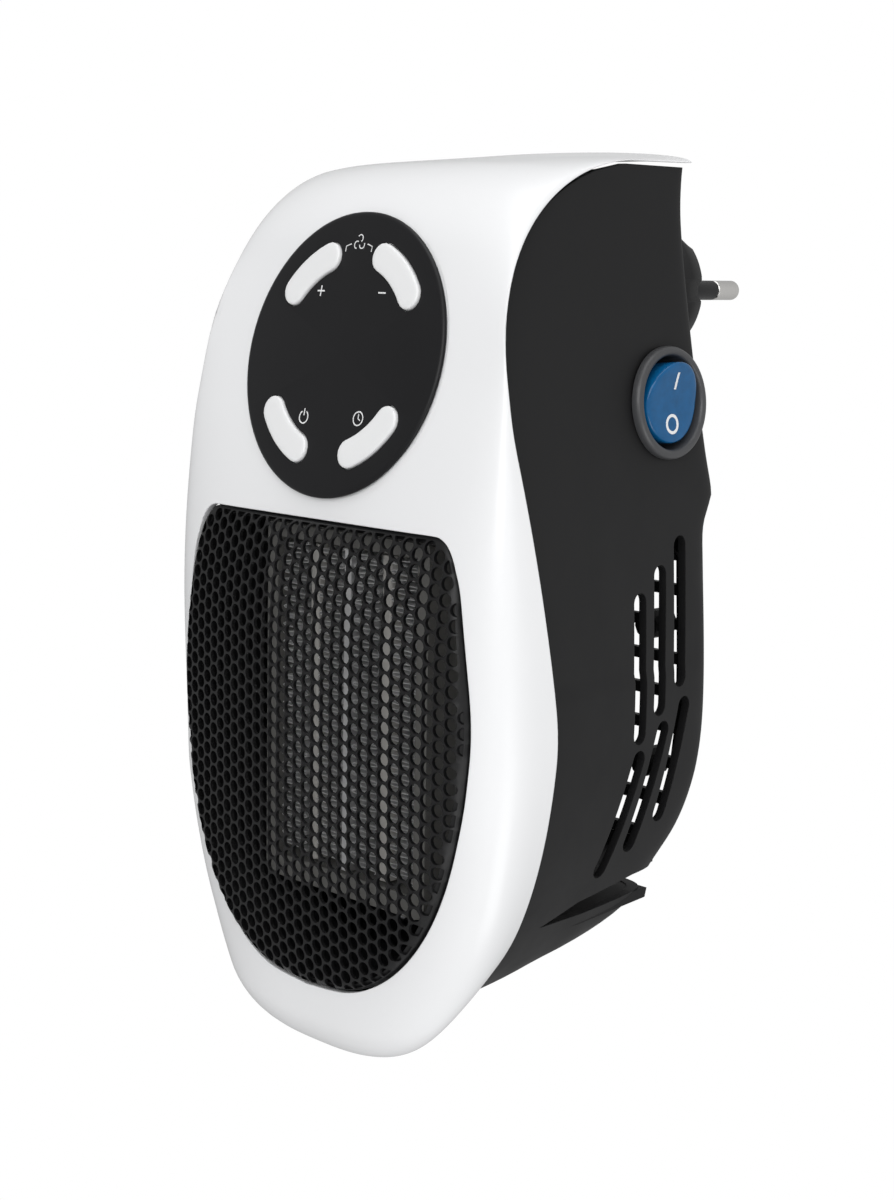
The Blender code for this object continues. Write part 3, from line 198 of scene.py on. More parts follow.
def surface(name, colour, rough, metallic=0.0, specular=0.5, coat=0.0, grain=2200.0, depth=0.01,
            tone=0.06, edge=0.25, patch=70.0, glow=0.0):
    """A moulded, plated or painted surface: patchy colour and gloss, fine grain and softened edges."""
    made, nodes, links, shader = tree_of(name)
    coords = nodes.new("ShaderNodeTexCoord").outputs["Object"]
    broad = noise(nodes, links, coords, patch)
    fine = noise(nodes, links, coords, grain, 2.0)
    darker = tuple(c * (1 - tone) for c in colour)
    lighter = tuple(min(1.0, c * (1 + tone)) for c in colour)
    links.new(two_tone(nodes, links, broad, darker, lighter), shader.inputs["Base Color"])
    links.new(spread(nodes, links, broad, rough * 0.9, rough * 1.12), shader.inputs["Roughness"])
    shader.inputs["Metallic"].default_value = metallic
    shader.inputs["Specular IOR Level"].default_value = specular
    shader.inputs["Coat Weight"].default_value = coat
    shader.inputs["Coat Roughness"].default_value = 0.12
    # Painted light: the glow is an emission in the surface's own colour, lighting up a part that holds no
    # lamp.
    if glow:
        shader.inputs["Emission Color"].default_value = (*colour, 1)
        shader.inputs["Emission Strength"].default_value = glow
    bump = nodes.new("ShaderNodeBump")
    bump.inputs["Strength"].default_value = 0.35
    bump.inputs["Distance"].default_value = depth * MM
    links.new(fine, bump.inputs["Height"])
    if edge:
        bevel = nodes.new("ShaderNodeBevel")
        bevel.samples = 4
        bevel.inputs["Radius"].default_value = edge * MM
        links.new(bevel.outputs["Normal"], bump.inputs["Normal"])
    links.new(bump.outputs["Normal"], shader.inputs["Normal"])
    return made


LOOKS = {
    "white_gloss": surface("white_gloss", (0.80, 0.805, 0.815), 0.24, specular=0.45, tone=0.006, grain=900,
                           depth=0.004, patch=25, edge=0.3),
    "black_satin": surface("black_satin", (0.0095, 0.0095, 0.01), 0.5, specular=0.22, tone=0.12, depth=0.012),
    "black_mesh": surface("black_mesh", (0.0055, 0.0055, 0.006), 0.4, specular=0.3, tone=0.12, edge=0.12),
    "panel_black": surface("panel_black", (0.006, 0.006, 0.007), 0.36, specular=0.26, tone=0.1, depth=0.004,
                           edge=0.2),
    "key_white": surface("key_white", (0.78, 0.785, 0.79), 0.32, tone=0.012, grain=1400, depth=0.004,
                         edge=0.15),
    "grey_plastic": surface("grey_plastic", (0.05, 0.051, 0.054), 0.38, specular=0.5, tone=0.08),
    # Painted light: the rocker's glow is an even emission standing in for light passing through its clear
    # blue plastic.
    "blue_clear": surface("blue_clear", (0.002, 0.075, 0.2), 0.14, specular=0.25, coat=0.25, tone=0.3,
                          patch=420, grain=600, depth=0.003, glow=0.14),
    "nickel": surface("nickel", (0.72, 0.71, 0.69), 0.2, metallic=1.0, tone=0.04, grain=3000, depth=0.002),
    "aluminium": surface("aluminium", (0.93, 0.93, 0.94), 0.5, metallic=1.0, tone=0.12, grain=2500,
                         depth=0.01, edge=0),
    "ceramic": surface("ceramic", (0.42, 0.41, 0.39), 0.55, tone=0.14, grain=1800, depth=0.02),
    "frame_plastic": surface("frame_plastic", (0.16, 0.158, 0.15), 0.5, tone=0.1),
    "board_green": surface("board_green", (0.02, 0.12, 0.045), 0.4, tone=0.15, grain=500, depth=0.01),
    "brass": surface("brass", (0.68, 0.48, 0.19), 0.3, metallic=1.0, tone=0.08),
    "steel": surface("steel", (0.5, 0.5, 0.52), 0.32, metallic=1.0, tone=0.08),
    "wire_brown": surface("wire_brown", (0.14, 0.05, 0.025), 0.45, tone=0.1),
    "wire_blue": surface("wire_blue", (0.03, 0.11, 0.36), 0.45, tone=0.1),
    "relay_blue": surface("relay_blue", (0.02, 0.09, 0.32), 0.42, tone=0.08),
    "capacitor_yellow": surface("capacitor_yellow", (0.62, 0.4, 0.06), 0.45, tone=0.08),
}


# ================================================================ mesh helpers
def shade(mesh, angle=35):
    mesh.shade_smooth()
    mesh.set_sharp_from_angle(angle=math.radians(angle))


def made(name, points, faces, look=None, angle=35):
    """One closed object from points in millimetres."""
    mesh = bpy.data.meshes.new(name)
    mesh.from_pydata([tuple(np.array(p, float) * MM) for p in points], [], [tuple(f) for f in faces])
    bm = bmesh.new()
    bm.from_mesh(mesh)
    bmesh.ops.remove_doubles(bm, verts=bm.verts, dist=1e-7)
    bmesh.ops.recalc_face_normals(bm, faces=bm.faces)
    if bm.calc_volume(signed=True) < 0:
        bmesh.ops.reverse_faces(bm, faces=bm.faces)
    bm.to_mesh(mesh)
    bm.free()
    obj = bpy.data.objects.new(name, mesh)
    bpy.context.scene.collection.objects.link(obj)
    if look:
        mesh.materials.append(LOOKS[look])
        shade(mesh, angle)
    return obj


def placed(obj, body, slot, *nodes):
    """A finished piece: it rides on its body and stands for CAD nodes, which are hidden; the slot argument is
    not used.
    """
    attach(obj, body)
    if nodes:
        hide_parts(*nodes)
    return obj


def combine(target, tools, operation="DIFFERENCE", angle=35):
    """Apply Boolean tools at once and throw them away."""
    for tool in tools:
        step = target.modifiers.new("step", "BOOLEAN")
        step.operation = operation
        step.object = tool
        step.solver = "EXACT"
    graph = bpy.context.evaluated_depsgraph_get()
    mesh = bpy.data.meshes.new_from_object(target.evaluated_get(graph))
    old = target.data
    target.modifiers.clear()
    target.data = mesh
    bpy.data.meshes.remove(old)
    for tool in tools:
        bpy.data.objects.remove(tool, do_unlink=True)
    shade(target.data, angle)
    return target


def along_x(a, b, c):
    return (c, a, b)


def along_y(a, b, c):
    return (a, c, b)


def on_panel(a, b, c):
    up = np.array((0, math.sin(PANEL_TILT), math.cos(PANEL_TILT)))
    out = np.array((0, -math.cos(PANEL_TILT), math.sin(PANEL_TILT)))
    return tuple(PANEL_CENTRE + np.array((a, 0, 0)) + b * up + c * out)


def spot_y(x0, z0):
    return lambda a, b, c: (x0 + a, c, z0 + b)


def prism(name, outline, start, end, place, look=None):
    n = len(outline)
    points = [place(a, b, start) for a, b in outline] + [place(a, b, end) for a, b in outline]
    faces = [tuple(range(n)), tuple(range(2 * n - 1, n - 1, -1))]
    faces += [(i, (i + 1) % n, n + (i + 1) % n, n + i) for i in range(n)]
    return made(name, points, faces, look)


def lofted(name, rings, look=None, angle=35):
    """A closed skin through rings of equal length, capped at both ends."""
    n = len(rings[0])
    points = [p for ring in rings for p in ring]
    faces = [tuple(range(n)), tuple(range(len(points) - 1, len(points) - n - 1, -1))]
    for r in range(len(rings) - 1):
        a, b = r * n, (r + 1) * n
        faces += [(a + i, a + (i + 1) % n, b + (i + 1) % n, b + i) for i in range(n)]
    return made(name, points, faces, look, angle)


def turned(name, profile, sides, place, look=None, angle=35):
    """A closed (radius, height) profile turned round the place's third axis."""
    count = len(profile)
    points = []
    faces = []
    for i in range(sides):
        turn = 2 * math.pi * (i + 0.37) / sides
        points += [place(r * math.cos(turn), r * math.sin(turn), h) for r, h in profile]
    for i in range(sides):
        a, b = i * count, ((i + 1) % sides) * count
        for k in range(count):
            n = (k + 1) % count
            corners = [a + k, a + n, b + n, b + k]
            if profile[k][0] == 0:
                corners.remove(b + k)
            if profile[n][0] == 0:
                corners.remove(b + n)
            if len(corners) > 2:
                faces.append(tuple(corners))
    return made(name, points, faces, look, angle)


def circle(radius, sides, centre=(0, 0)):
    turns = [2 * math.pi * i / sides for i in range(sides)]
    return [(centre[0] + radius * math.cos(t), centre[1] + radius * math.sin(t)) for t in turns]


def capsule(start, end, radius, steps=12):
    heading = math.atan2(end[1] - start[1], end[0] - start[0])
    outline = []
    for centre, turn in ((end, heading - math.pi / 2), (start, heading + math.pi / 2)):
        for step in range(steps + 1):
            t = turn + math.pi * step / steps
            outline.append((centre[0] + radius * math.cos(t), centre[1] + radius * math.sin(t)))
    return outline


def rounded_box(width, height, radius, centre=(0, 0), steps=10):
    outline = []
    for corner, (sx, sy) in enumerate([(1, 1), (-1, 1), (-1, -1), (1, -1)]):
        for step in range(steps + 1):
            t = math.pi / 2 * (corner + step / steps)
            outline.append((centre[0] + sx * (width / 2 - radius) + radius * math.cos(t),
                            centre[1] + sy * (height / 2 - radius) + radius * math.sin(t)))
    return outline


def smooth_curve(knots, samples):
    """Points on a curve through the knots, evenly spread from knot to knot."""
    knots = np.array(knots, float)
    padded = np.vstack([2 * knots[0] - knots[1], knots, 2 * knots[-1] - knots[-2]])
    result = []
    for s in np.linspace(0, len(knots) - 1, samples):
        i = min(int(s), len(knots) - 2)
        t = s - i
        a, b, c, d = padded[i:i + 4]
        result.append(0.5 * (2 * b + (c - a) * t + (2 * a - 5 * b + 4 * c - d) * t ** 2
                             + (3 * b - a - 3 * c + d) * t ** 3))
    return np.array(result)


TABLES = {}


def lookup(height, knots):
    """Value at a height on a smooth curve of (height, value) knots."""
    if knots not in TABLES:
        curve = smooth_curve(knots, 12 * len(knots))
        order = np.argsort(curve[:, 0])
        TABLES[knots] = (curve[order, 0], curve[order, 1])
    return float(np.interp(height, *TABLES[knots]))


def double_skin(name, outer, inner, look):
    """A shell from two matching grids whose last rows fold onto the centre plane."""
    rows, columns = outer.shape[:2]
    middle = columns // 2
    offset = rows * columns
    points = list(outer.reshape(-1, 3)) + list(inner.reshape(-1, 3))

    def index(r, c):
        if r == rows - 1:
            c = middle + abs(c - middle)
        return r * columns + c

    faces = []
    for r in range(rows - 1):
        for c in range(columns - 1):
            corners = [index(r, c), index(r, c + 1), index(r + 1, c + 1), index(r + 1, c)]
            faces.append(corners)
            faces.append([k + offset for k in reversed(corners)])
    border = [(index(0, c), index(0, c + 1)) for c in range(columns - 1)]
    border += [(index(r, columns - 1), index(r + 1, columns - 1)) for r in range(rows - 1)]
    border += [(index(r + 1, 0), index(r, 0)) for r in range(rows - 1)]
    for a, b in border:
        faces.append([b, a, a + offset, b + offset])
    used = sorted({k for face in faces for k in face})
    new = {k: i for i, k in enumerate(used)}
    faces = [tuple(dict.fromkeys(new[k] for k in face)) for face in faces]
    return made(name, [points[k] for k in used], [f for f in faces if len(f) > 2], look)


# ================================================================ white shell
def rounded_line(corners, radii, steps=40):
    """A line through corners, each inner corner rounded by an arc of its radius."""
    corners = [np.array(corner, float) for corner in corners]
    line = [corners[0]]
    for before, corner, after, radius in zip(corners, corners[1:], corners[2:], radii):
        back = (before - corner) / np.linalg.norm(before - corner)
        ahead = (after - corner) / np.linalg.norm(after - corner)
        half = math.acos(float(np.clip(back @ ahead, -1, 1))) / 2
        middle = (back + ahead) / np.linalg.norm(back + ahead)
        centre = corner + middle * radius / math.sin(half)
        start = corner + back * radius / math.tan(half) - centre
        end = corner + ahead * radius / math.tan(half) - centre
        turn = math.pi - 2 * half
        for step in range(steps + 1):
            share = step / steps
            spoke = start * math.sin((1 - share) * turn) + end * math.sin(share * turn)
            line.append(centre + spoke / math.sin(turn))
    line.append(corners[-1])
    return np.array(line)


def rows_along(line, rows):
    """Points along a line, closer together in its bends."""
    steps = np.linalg.norm(np.diff(line, axis=0), axis=1)
    length = np.concatenate([[0], np.cumsum(steps)])
    places = np.interp(np.linspace(0, 1, rows), ROW_SHARES, ROW_STOPS) * length[-1]
    return np.stack([np.interp(places, length, line[:, axis]) for axis in (0, 1)], axis=1)


def centre_line():
    """The white shell on its centre plane, (y, z): top, shoulder, face, belly and chin."""
    lean = math.tan(PANEL_TILT)
    slope = math.tan(DECK_SLOPE)
    face_at_zero = PANEL_CENTRE[1] + PANEL_SETBACK - PANEL_CENTRE[2] * lean
    shoulder = (DECK_HEIGHT + slope * (face_at_zero - DECK_BACK)) / (1 - slope * lean)
    corners = [(DECK_BACK, DECK_HEIGHT), (face_at_zero + shoulder * lean, shoulder),
               (BELLY_DEPTH, (BELLY_DEPTH - face_at_zero) / lean), (BELLY_DEPTH, BELLY_LOW),
               (CHIN_DEPTH, CHIN_LOW), (CHIN_BACK, CHIN_LOW + CHIN_RISE)]
    return rounded_line(corners, (SHOULDER_RADIUS, BELLY_RADIUS, BELLY_RADIUS, CHIN_RADIUS))


def seam_line():
    """The white shell's side edge seen from the side, (y, z)."""
    top = DECK_HEIGHT - SEAM_DROP
    corners = [(DECK_BACK, top), (SEAM_FRONT, top - 1), (SEAM_FRONT, SEAM_BEND_HEIGHT),
               (SEAM_WAIST, EGG_CENTRE - 8), (SEAM_CHIN, SEAM_CHIN_HEIGHT), (SEAM_CHIN - 6, SEAM_LOW)]
    radii = (SEAM_SHOULDER_RADIUS, SEAM_BEND_RADIUS, SEAM_BEND_RADIUS, SEAM_BEND_RADIUS)
    return rounded_line(corners, radii)


def egg_half_width(z):
    """Half width of the white shell's side edge at a height."""
    if z < EGG_CENTRE:
        fall = min(1.0, (EGG_CENTRE - z) / (EGG_CENTRE - SEAM_LOW))
        return EGG_HALF_WIDTH * (1 - fall ** EGG_SQUARENESS) ** (1 / EGG_SQUARENESS)
    egg = EGG_HALF_WIDTH * math.sqrt(1 - ((z - EGG_CENTRE) / EGG_RISE) ** 2)
    return (egg ** 16 + TOP_HALF_WIDTH ** 16) ** (1 / 16)


def shell_seam(rows):
    """The white shell's edge on its right side, (x, y, z), from the top down."""
    side = rows_along(seam_line(), rows)
    seam = np.column_stack([[egg_half_width(z) for z in side[:, 1]], side])
    seam[-1, 0] = 0
    return seam


def front_table():
    """Height and depth of the centre line's front, sorted by height."""
    line = rows_along(centre_line(), 400)
    line = line[line[:, 1] < FACE_TOP]
    order = np.argsort(line[:, 1])
    return line[order, 1], line[order, 0]


FRONT = front_table()


def front_depth(z):
    return float(np.interp(z, *FRONT))


def squareness(heights):
    """Exponent of the white shell's cross-section at the given heights."""
    at, exponents = zip(*ROUNDNESS)
    return np.interp(heights, at, exponents)


def shell_skin(thickness, rows=150, half_columns=40):
    centre = rows_along(centre_line(), rows)
    seam = shell_seam(rows)
    power = 2 / squareness(centre[:, 1:2])
    ahead = np.gradient(centre, axis=0)
    normal = np.stack([-ahead[:, 1], ahead[:, 0]], axis=1)
    normal /= np.linalg.norm(normal, axis=1)[:, None]
    centre = centre + thickness * normal
    shrink = 1 - thickness / (EGG_CENTRE - SEAM_LOW)
    low = seam[:, 2] < EGG_CENTRE
    seam[:, 0] = np.where(low, seam[:, 0] * shrink, seam[:, 0] - thickness)
    seam[:, 2] = np.where(low, EGG_CENTRE + (seam[:, 2] - EGG_CENTRE) * shrink, seam[:, 2])
    seam[-1, 0] = 0
    turns = math.pi / 2 * np.linspace(0, 1, half_columns + 1)
    side = np.sin(turns) ** power
    back = 1 - np.clip(np.cos(turns), 0, None) ** power
    side = np.concatenate([-side[:, :0:-1], side], axis=1)
    back = np.concatenate([back[:, :0:-1], back], axis=1)
    return np.stack([seam[:, 0:1] * side, centre[:, 0:1] + (seam[:, 1:2] - centre[:, 0:1]) * back,
                     centre[:, 1:2] + (seam[:, 2:3] - centre[:, 1:2]) * back], axis=2)


def edge_table():
    """The white shell's side edge sorted by height: height, half width and depth."""
    seam = shell_seam(300)
    order = np.argsort(seam[:, 2])
    return seam[order, 2], seam[order, 0], seam[order, 1]


EDGE = edge_table()


def shell_front(x, z):
    """y of the white shell's outer face in front of a point."""
    half = max(0.1, float(np.interp(z, EDGE[0], EDGE[1])))
    power = 2 / float(squareness(z))
    turn = math.asin(min(0.999, abs(x) / half) ** (1 / power))
    back = 1 - math.cos(turn) ** power
    centre = front_depth(z)
    return centre + (float(np.interp(z, EDGE[0], EDGE[2])) - centre) * back


def grille_outline(margin, steps=8):
    """Outline of the outlet, (x, z): a straight top, full sides and an egg-shaped foot."""
    half = GRILLE_HALF_WIDTH - margin
    top = GRILLE_TOP - margin
    bottom = GRILLE_BOTTOM + margin
    knots = [(half * 0.74, top), (half * 0.80, top - 0.3), (half * 0.855, top - 2.2),
             (half * 0.9, top - 6.3), (half * 0.945, top - 14)]
    for step in range(9):
        turn = math.pi / 2 * step / 8
        knots.append((half * math.cos(turn) ** 0.8,
                      EGG_CENTRE - 2 - (EGG_CENTRE - 2 - bottom) * math.sin(turn) ** 0.92))
    right = [tuple(p) for p in smooth_curve(knots, (len(knots) - 1) * steps + 1)]
    right[-1] = (0.0, bottom)
    left = [(-x, z) for x, z in reversed(right[:-1])]
    return right + left


def white_shell():
    shell = double_skin("front_shell_body", shell_skin(0), shell_skin(SHELL_THICKNESS), "white_gloss")
    outlet = prism("tool_outlet", grille_outline(0), -130, -96.5, along_y)
    seat = turned("tool_seat", [(0, 4), (0, -1.2), (32.1, -1.2), (32.1, 4)], 128, on_panel)
    hole = turned("tool_hole", [(0, 3), (0, -9), (28, -9), (28, 3)], 64, on_panel)
    combine(shell, [outlet, seat, hole])
    placed(shell, "housing", "white_gloss", "front_shell")


# ================================================================ outlet grille
def edge_distance(x, z, outline):
    """Distance from a point to the closed outline, in the plane of the outlet."""
    a = outline
    b = np.roll(outline, -1, axis=0)
    p = np.array((x, z))
    ab = b - a
    t = np.clip(((p - a) * ab).sum(1) / (ab * ab).sum(1), 0, 1)
    return float(np.sqrt((((a + ab * t[:, None]) - p) ** 2).sum(1).min()))


def inside(x, z, outline):
    a = outline
    b = np.roll(outline, -1, axis=0)
    crosses = (a[:, 1] > z) != (b[:, 1] > z)
    with np.errstate(divide="ignore", invalid="ignore"):
        at = a[:, 0] + (z - a[:, 1]) * (b[:, 0] - a[:, 0]) / (b[:, 1] - a[:, 1])
    return bool((crosses & (x < at)).sum() % 2)


def grille_face(x, z, distance):
    """y of the grille's front face: bulging, and rounded over down to the shell at its edge."""
    reach = max(0.0, 1 - (x / GRILLE_HALF_WIDTH) ** 2 - ((z + 100) / 60) ** 4)
    face = front_depth(z) + 0.6 - GRILLE_BULGE * reach
    drop = max(0.6, shell_front(x, z) + 0.9 - face)
    if distance >= MESH_ROLL:
        return face
    return face + drop * (1 - math.sqrt(max(0.0, 1 - (1 - distance / MESH_ROLL) ** 2)))


def hole_centres(outline):
    """Staggered columns of openings, kept up to and across the outlet's rim."""
    column = MESH_PITCH * math.sqrt(3) / 2
    centres = []
    for i in range(-17, 18):
        for j in range(-22, 18):
            x = i * column
            z = -100 + MESH_PITCH * (j + 0.5 * (i % 2))
            if inside(x, z, outline) or edge_distance(x, z, outline) < 0.4 * MESH_HOLE:
                centres.append((x, z))
    return centres


def honeycomb():
    """The outlet's sheet: its several hundred round openings run on until a thin rim cuts them off."""
    outer = np.array(grille_outline(0.35))
    inner = np.array(grille_outline(0.35 + MESH_RIM))
    centres = hole_centres(inner)
    flat = []
    edges = []
    for loop in [outer, inner] + [circle(MESH_HOLE, 12, centre) for centre in centres]:
        first = len(flat)
        flat += [Vector(point) for point in loop]
        edges += [(first + k, first + (k + 1) % len(loop)) for k in range(len(loop))]
    points, _, triangles, _, _, _ = delaunay_2d_cdt(flat, edges, [], 0, 1e-5)
    hubs = np.array(centres)
    kept = []
    for triangle in triangles:
        x, z = np.mean([points[k] for k in triangle], axis=0)
        if not inside(x, z, outer):
            continue
        if np.hypot(*(hubs - (x, z)).T).min() > MESH_HOLE * 0.93 or not inside(x, z, inner):
            kept.append(triangle)
    used = sorted({k for triangle in kept for k in triangle})
    number = {k: i for i, k in enumerate(used)}
    kept = [tuple(number[k] for k in triangle) for triangle in kept]
    front = []
    for x, z in (points[k] for k in used):
        front.append((x, grille_face(x, z, edge_distance(x, z, outer)), z))
    count = len(front)
    back = [(x, y + MESH_THICKNESS, z) for x, y, z in front]
    faces = kept + [tuple(k + count for k in reversed(triangle)) for triangle in kept]
    directed = {(t[k], t[(k + 1) % 3]) for t in kept for k in range(3)}
    for a, b in sorted(directed):
        if (b, a) not in directed:
            faces.append((b, a, a + count, b + count))
    grille = made("grille_honeycomb", front + back, faces, "black_mesh", 40)
    placed(grille, "housing", "black_mesh", "front_grille")


def outlet_collar():
    """Dark collar behind the outlet that leads the air from the heating core to the grille."""
    points = []
    for margin, depth in ((0.9, None), (5.0, -92.0), (5.9, -92.0), (1.8, None)):
        for x, z in grille_outline(margin, 4):
            behind = grille_face(x, z, margin) + MESH_THICKNESS + 0.1
            points.append((x, behind if depth is None else depth, z))
    count = len(points) // 4
    faces = []
    for ring in range(4):
        a, b = ring * count, (ring + 1) % 4 * count
        faces += [(a + k, a + (k + 1) % count, b + (k + 1) % count, b + k) for k in range(count)]
    collar = made("outlet_collar", points, faces, "black_mesh")
    placed(collar, "housing", "black_mesh")


# ================================================================ dark housing
def seam_table():
    seam = shell_seam(240)
    shrink = 1 - SEAM_INSET / (EGG_CENTRE - SEAM_LOW)
    low = seam[:, 2] < EGG_CENTRE
    inset = np.interp(seam[:, 2], [EGG_CENTRE, 0, 28], [SEAM_INSET, SEAM_INSET, 0.6])
    x = np.where(low, seam[:, 0] * shrink, seam[:, 0] - inset)
    height = np.where(low, EGG_CENTRE + (seam[:, 2] - EGG_CENTRE) * shrink, seam[:, 2] - 0.5)
    order = np.argsort(height)
    return height[order], x[order], seam[order, 1] + SEAM_SETBACK


SEAM = seam_table()


def housing_seam(z):
    return float(np.interp(z, SEAM[0], SEAM[1])), float(np.interp(z, SEAM[0], SEAM[2]))


def back_half_width(z):
    """Half width of the dark housing at its back at a height."""
    if z < EGG_CENTRE:
        fall = min(1.0, (EGG_CENTRE - z) / (EGG_CENTRE - SEAM_LOW - SEAM_INSET))
        return BACK_HALF_WIDTH * (1 - fall ** BACK_SQUARENESS) ** (1 / BACK_SQUARENESS)
    return BACK_HALF_WIDTH - BACK_TAPER * ((z - EGG_CENTRE) / BACK_TAPER_HEIGHT) ** 2


def housing_grid(inset):
    """The dark housing's surface as a grid, moved inward by the inset."""
    lowest = SEAM_LOW + SEAM_INSET
    heights = list(np.linspace(27.5, -131, 90))
    heights += [-131 + (lowest + 131) * math.sin(math.pi / 2 * k / 30) for k in range(1, 31)]
    share = 1 - (1 - np.linspace(0, 1, 22)) ** 2
    grid = []
    for z in heights:
        square = float(np.interp(z, [lowest, -150, -131, -110], [2.4, 4, 16, 36]))
        corner = 2 ** (-1 / square)
        side = [((1 - f ** square) ** (1 / square), f) for f in corner * share]
        back = [(g, (1 - g ** square) ** (1 / square)) for g in corner * share[-2::-1]]
        front_x, front_y = housing_seam(z)
        depth = lookup(z, BACK_LINE) - front_y
        quarter = []
        for fx, fy in side + back:
            half = front_x + (back_half_width(z) - front_x) * fy
            raised = z if z > -140 else z + inset * (-140 - z) / (-140 - lowest)
            quarter.append((max(0.0, half - inset) * fx, front_y + max(0.0, depth - inset) * fy, raised))
        grid.append([(-x, y, h) for x, y, h in quarter] + list(reversed(quarter[:-1])))
    grid = np.array(grid)
    grid[-1, :, 0] = 0
    return grid


def cheek_x(y, z):
    """x of the right cheek's outer face."""
    front_x, front_y = housing_seam(z)
    fraction = (y - front_y) / (lookup(z, BACK_LINE) - front_y)
    return front_x + (back_half_width(z) - front_x) * fraction


def cheek_axes():
    def at(y, z):
        return np.array((cheek_x(y, z), y, z))

    centre = at(SWITCH_Y, SWITCH_Z)
    along = at(SWITCH_Y + 8, SWITCH_Z) - at(SWITCH_Y - 8, SWITCH_Z)
    along /= np.linalg.norm(along)
    up = at(SWITCH_Y, SWITCH_Z + 8) - at(SWITCH_Y, SWITCH_Z - 8)
    up -= along * np.dot(along, up)
    up /= np.linalg.norm(up)
    return centre, along, up, np.cross(along, up)


CHEEK = cheek_axes()


def on_cheek(a, b, c):
    """Place for the switch: a runs backward, b up and c out of the right cheek."""
    centre, along, up, out = CHEEK
    return tuple(centre + a * along + b * up + c * out)


def dark_housing():
    outer = housing_grid(0)
    inner = housing_grid(HOUSING_THICKNESS)
    housing = double_skin("rear_housing_body", outer, inner, "black_satin")
    boss_profile = [(0, -45), (0, BOSS_FACE - 0.5), (0, BOSS_FACE), (BOSS_RADIUS - 0.5, BOSS_FACE),
                    (BOSS_RADIUS, BOSS_FACE - 0.5), (BOSS_RADIUS, -45)]
    boss = turned("tool_boss", boss_profile, 96, along_y)
    combine(housing, [boss], "UNION")
    tools = [prism("tool_groove", GROOVE, -60, 60, along_x)]
    neck_hole = [(0, -60), (0, -20), (NECK_RADIUS + 0.4, -20), (NECK_RADIUS + 0.4, -60)]
    tools.append(turned("tool_plug", neck_hole, 90, along_y))
    vent = rounded_box(VENT[0], VENT[1] - VENT[2], 6, (0, (VENT[1] + VENT[2]) / 2))
    tools.append(prism("tool_vent", vent, -44, -20, along_y))
    tools.append(turned("tool_switch", [(0, -12), (0, 5), (11.6, 5), (11.6, -12)], 96, on_cheek))
    combine(housing, tools)
    for k, (start, end) in enumerate(SIDE_SLOTS):
        for side in (-1, 1):
            outline = capsule(start, end, SLOT_RADIUS)
            combine(housing, [prism(f"tool_slot_{k}_{side}", outline, side * 41, side * 60, along_x)])
    placed(housing, "housing", "black_satin", "rear_housing")
    liner = prism("groove_liner", GROOVE_LINER, -40, 40, along_x, "black_satin")
    combine(liner, [prism("tool_liner", LINER_GROOVE, -60, 60, along_x)])
    placed(liner, "housing", "black_satin")


# ================================================================ plug
def plug_ring(y, radius, flat, notch, sides=96):
    ring = []
    for i in range(sides):
        turn = 2 * math.pi * (i + 0.5) / sides
        x = radius * math.cos(turn)
        z = radius * math.sin(turn)
        z = math.copysign(min(abs(z), flat), z)
        if abs(z) < 2.6:
            x -= math.copysign(notch * (1 - (z / 2.6) ** 4), x)
        ring.append((x, y, z))
    return ring


def plug():
    full = (PLUG_RADIUS, PLUG_FLAT)
    rings = [plug_ring(0, 14.6, 8.8, 1.2), plug_ring(-0.25, 15.2, 9.4, 1.4),
             plug_ring(-0.9, 15.7, 10.2, 1.5), plug_ring(-5.2, 17.2, 13.6, 1.6),
             plug_ring(-6.6, *full, 1.6), plug_ring(-23.4, *full, 1.6), plug_ring(-24.2, *full, 0.5),
             plug_ring(-24.8, *full, 0), plug_ring(-33.2, *full, 0), plug_ring(-33.7, 17.1, 13.8, 0)]
    body = lofted("plug_shell", rings, "black_satin", 40)
    bore = [(0, 5), (0, -9), (PIN_RADIUS + 0.3, -9), (PIN_RADIUS + 0.3, 5)]
    tools = [turned(f"tool_pin_{side}", bore, 32, spot_y(side * PIN_OFFSET, 0)) for side in (-1, 1)]
    combine(body, tools)
    wall = [(10.5, -33.9), (10.5, -46.5), (NECK_RADIUS, -46.5), (NECK_RADIUS, -33.9)]
    neck = turned("plug_neck", wall, 96, along_y, "black_satin")
    placed(body, "plug", "black_satin", "plug_body")
    placed(neck, "plug", "black_satin")
    for side, name in ((-1, "left"), (1, "right")):
        place = spot_y(side * PIN_OFFSET, 0)
        tip = [(PIN_RADIUS - 1.5 * (1 - math.cos(t)), 17.5 + 1.5 * math.sin(t))
               for t in np.linspace(0, math.pi / 2, 7)]
        profile = [(0, 19), (0, -8.9), (1.7, -8.9), (1.7, 10.3), (2.2, 10.3), (PIN_RADIUS, 10.5)] + tip
        pin = turned(f"pin_{name}_metal", profile, 40, place, "nickel")
        placed(pin, "plug", "nickel", f"pin_{name}")
        sleeve = [(2.0, 10), (2.0, -8), (PIN_RADIUS, -8), (PIN_RADIUS, 9.7), (2.25, 10)]
        skin = turned(f"pin_{name}_sleeve", sleeve, 40, place, "black_mesh")
        placed(skin, "plug", "black_mesh", f"pin_sleeve_{name}")


# ================================================================ control panel
def key_outline(centre_angle, grow=0.0, steps=20, caps=9):
    half = KEY_WIDTH / 2 + grow
    start = math.radians(centre_angle - KEY_SPAN) + KEY_WIDTH / 2 / KEY_RING
    end = math.radians(centre_angle + KEY_SPAN) - KEY_WIDTH / 2 / KEY_RING
    outline = []
    outside = (start, end, KEY_RING + half, 0.0)
    inside_edge = (end, start, KEY_RING - half, math.pi)
    for first, last, radius, turn in (outside, inside_edge):
        for k in range(steps + 1):
            t = first + (last - first) * k / steps
            outline.append((radius * math.cos(t), radius * math.sin(t)))
        centre = (KEY_RING * math.cos(last), KEY_RING * math.sin(last))
        for k in range(1, caps):
            t = last + turn + math.pi * k / caps
            outline.append((centre[0] + half * math.cos(t), centre[1] + half * math.sin(t)))
    return outline


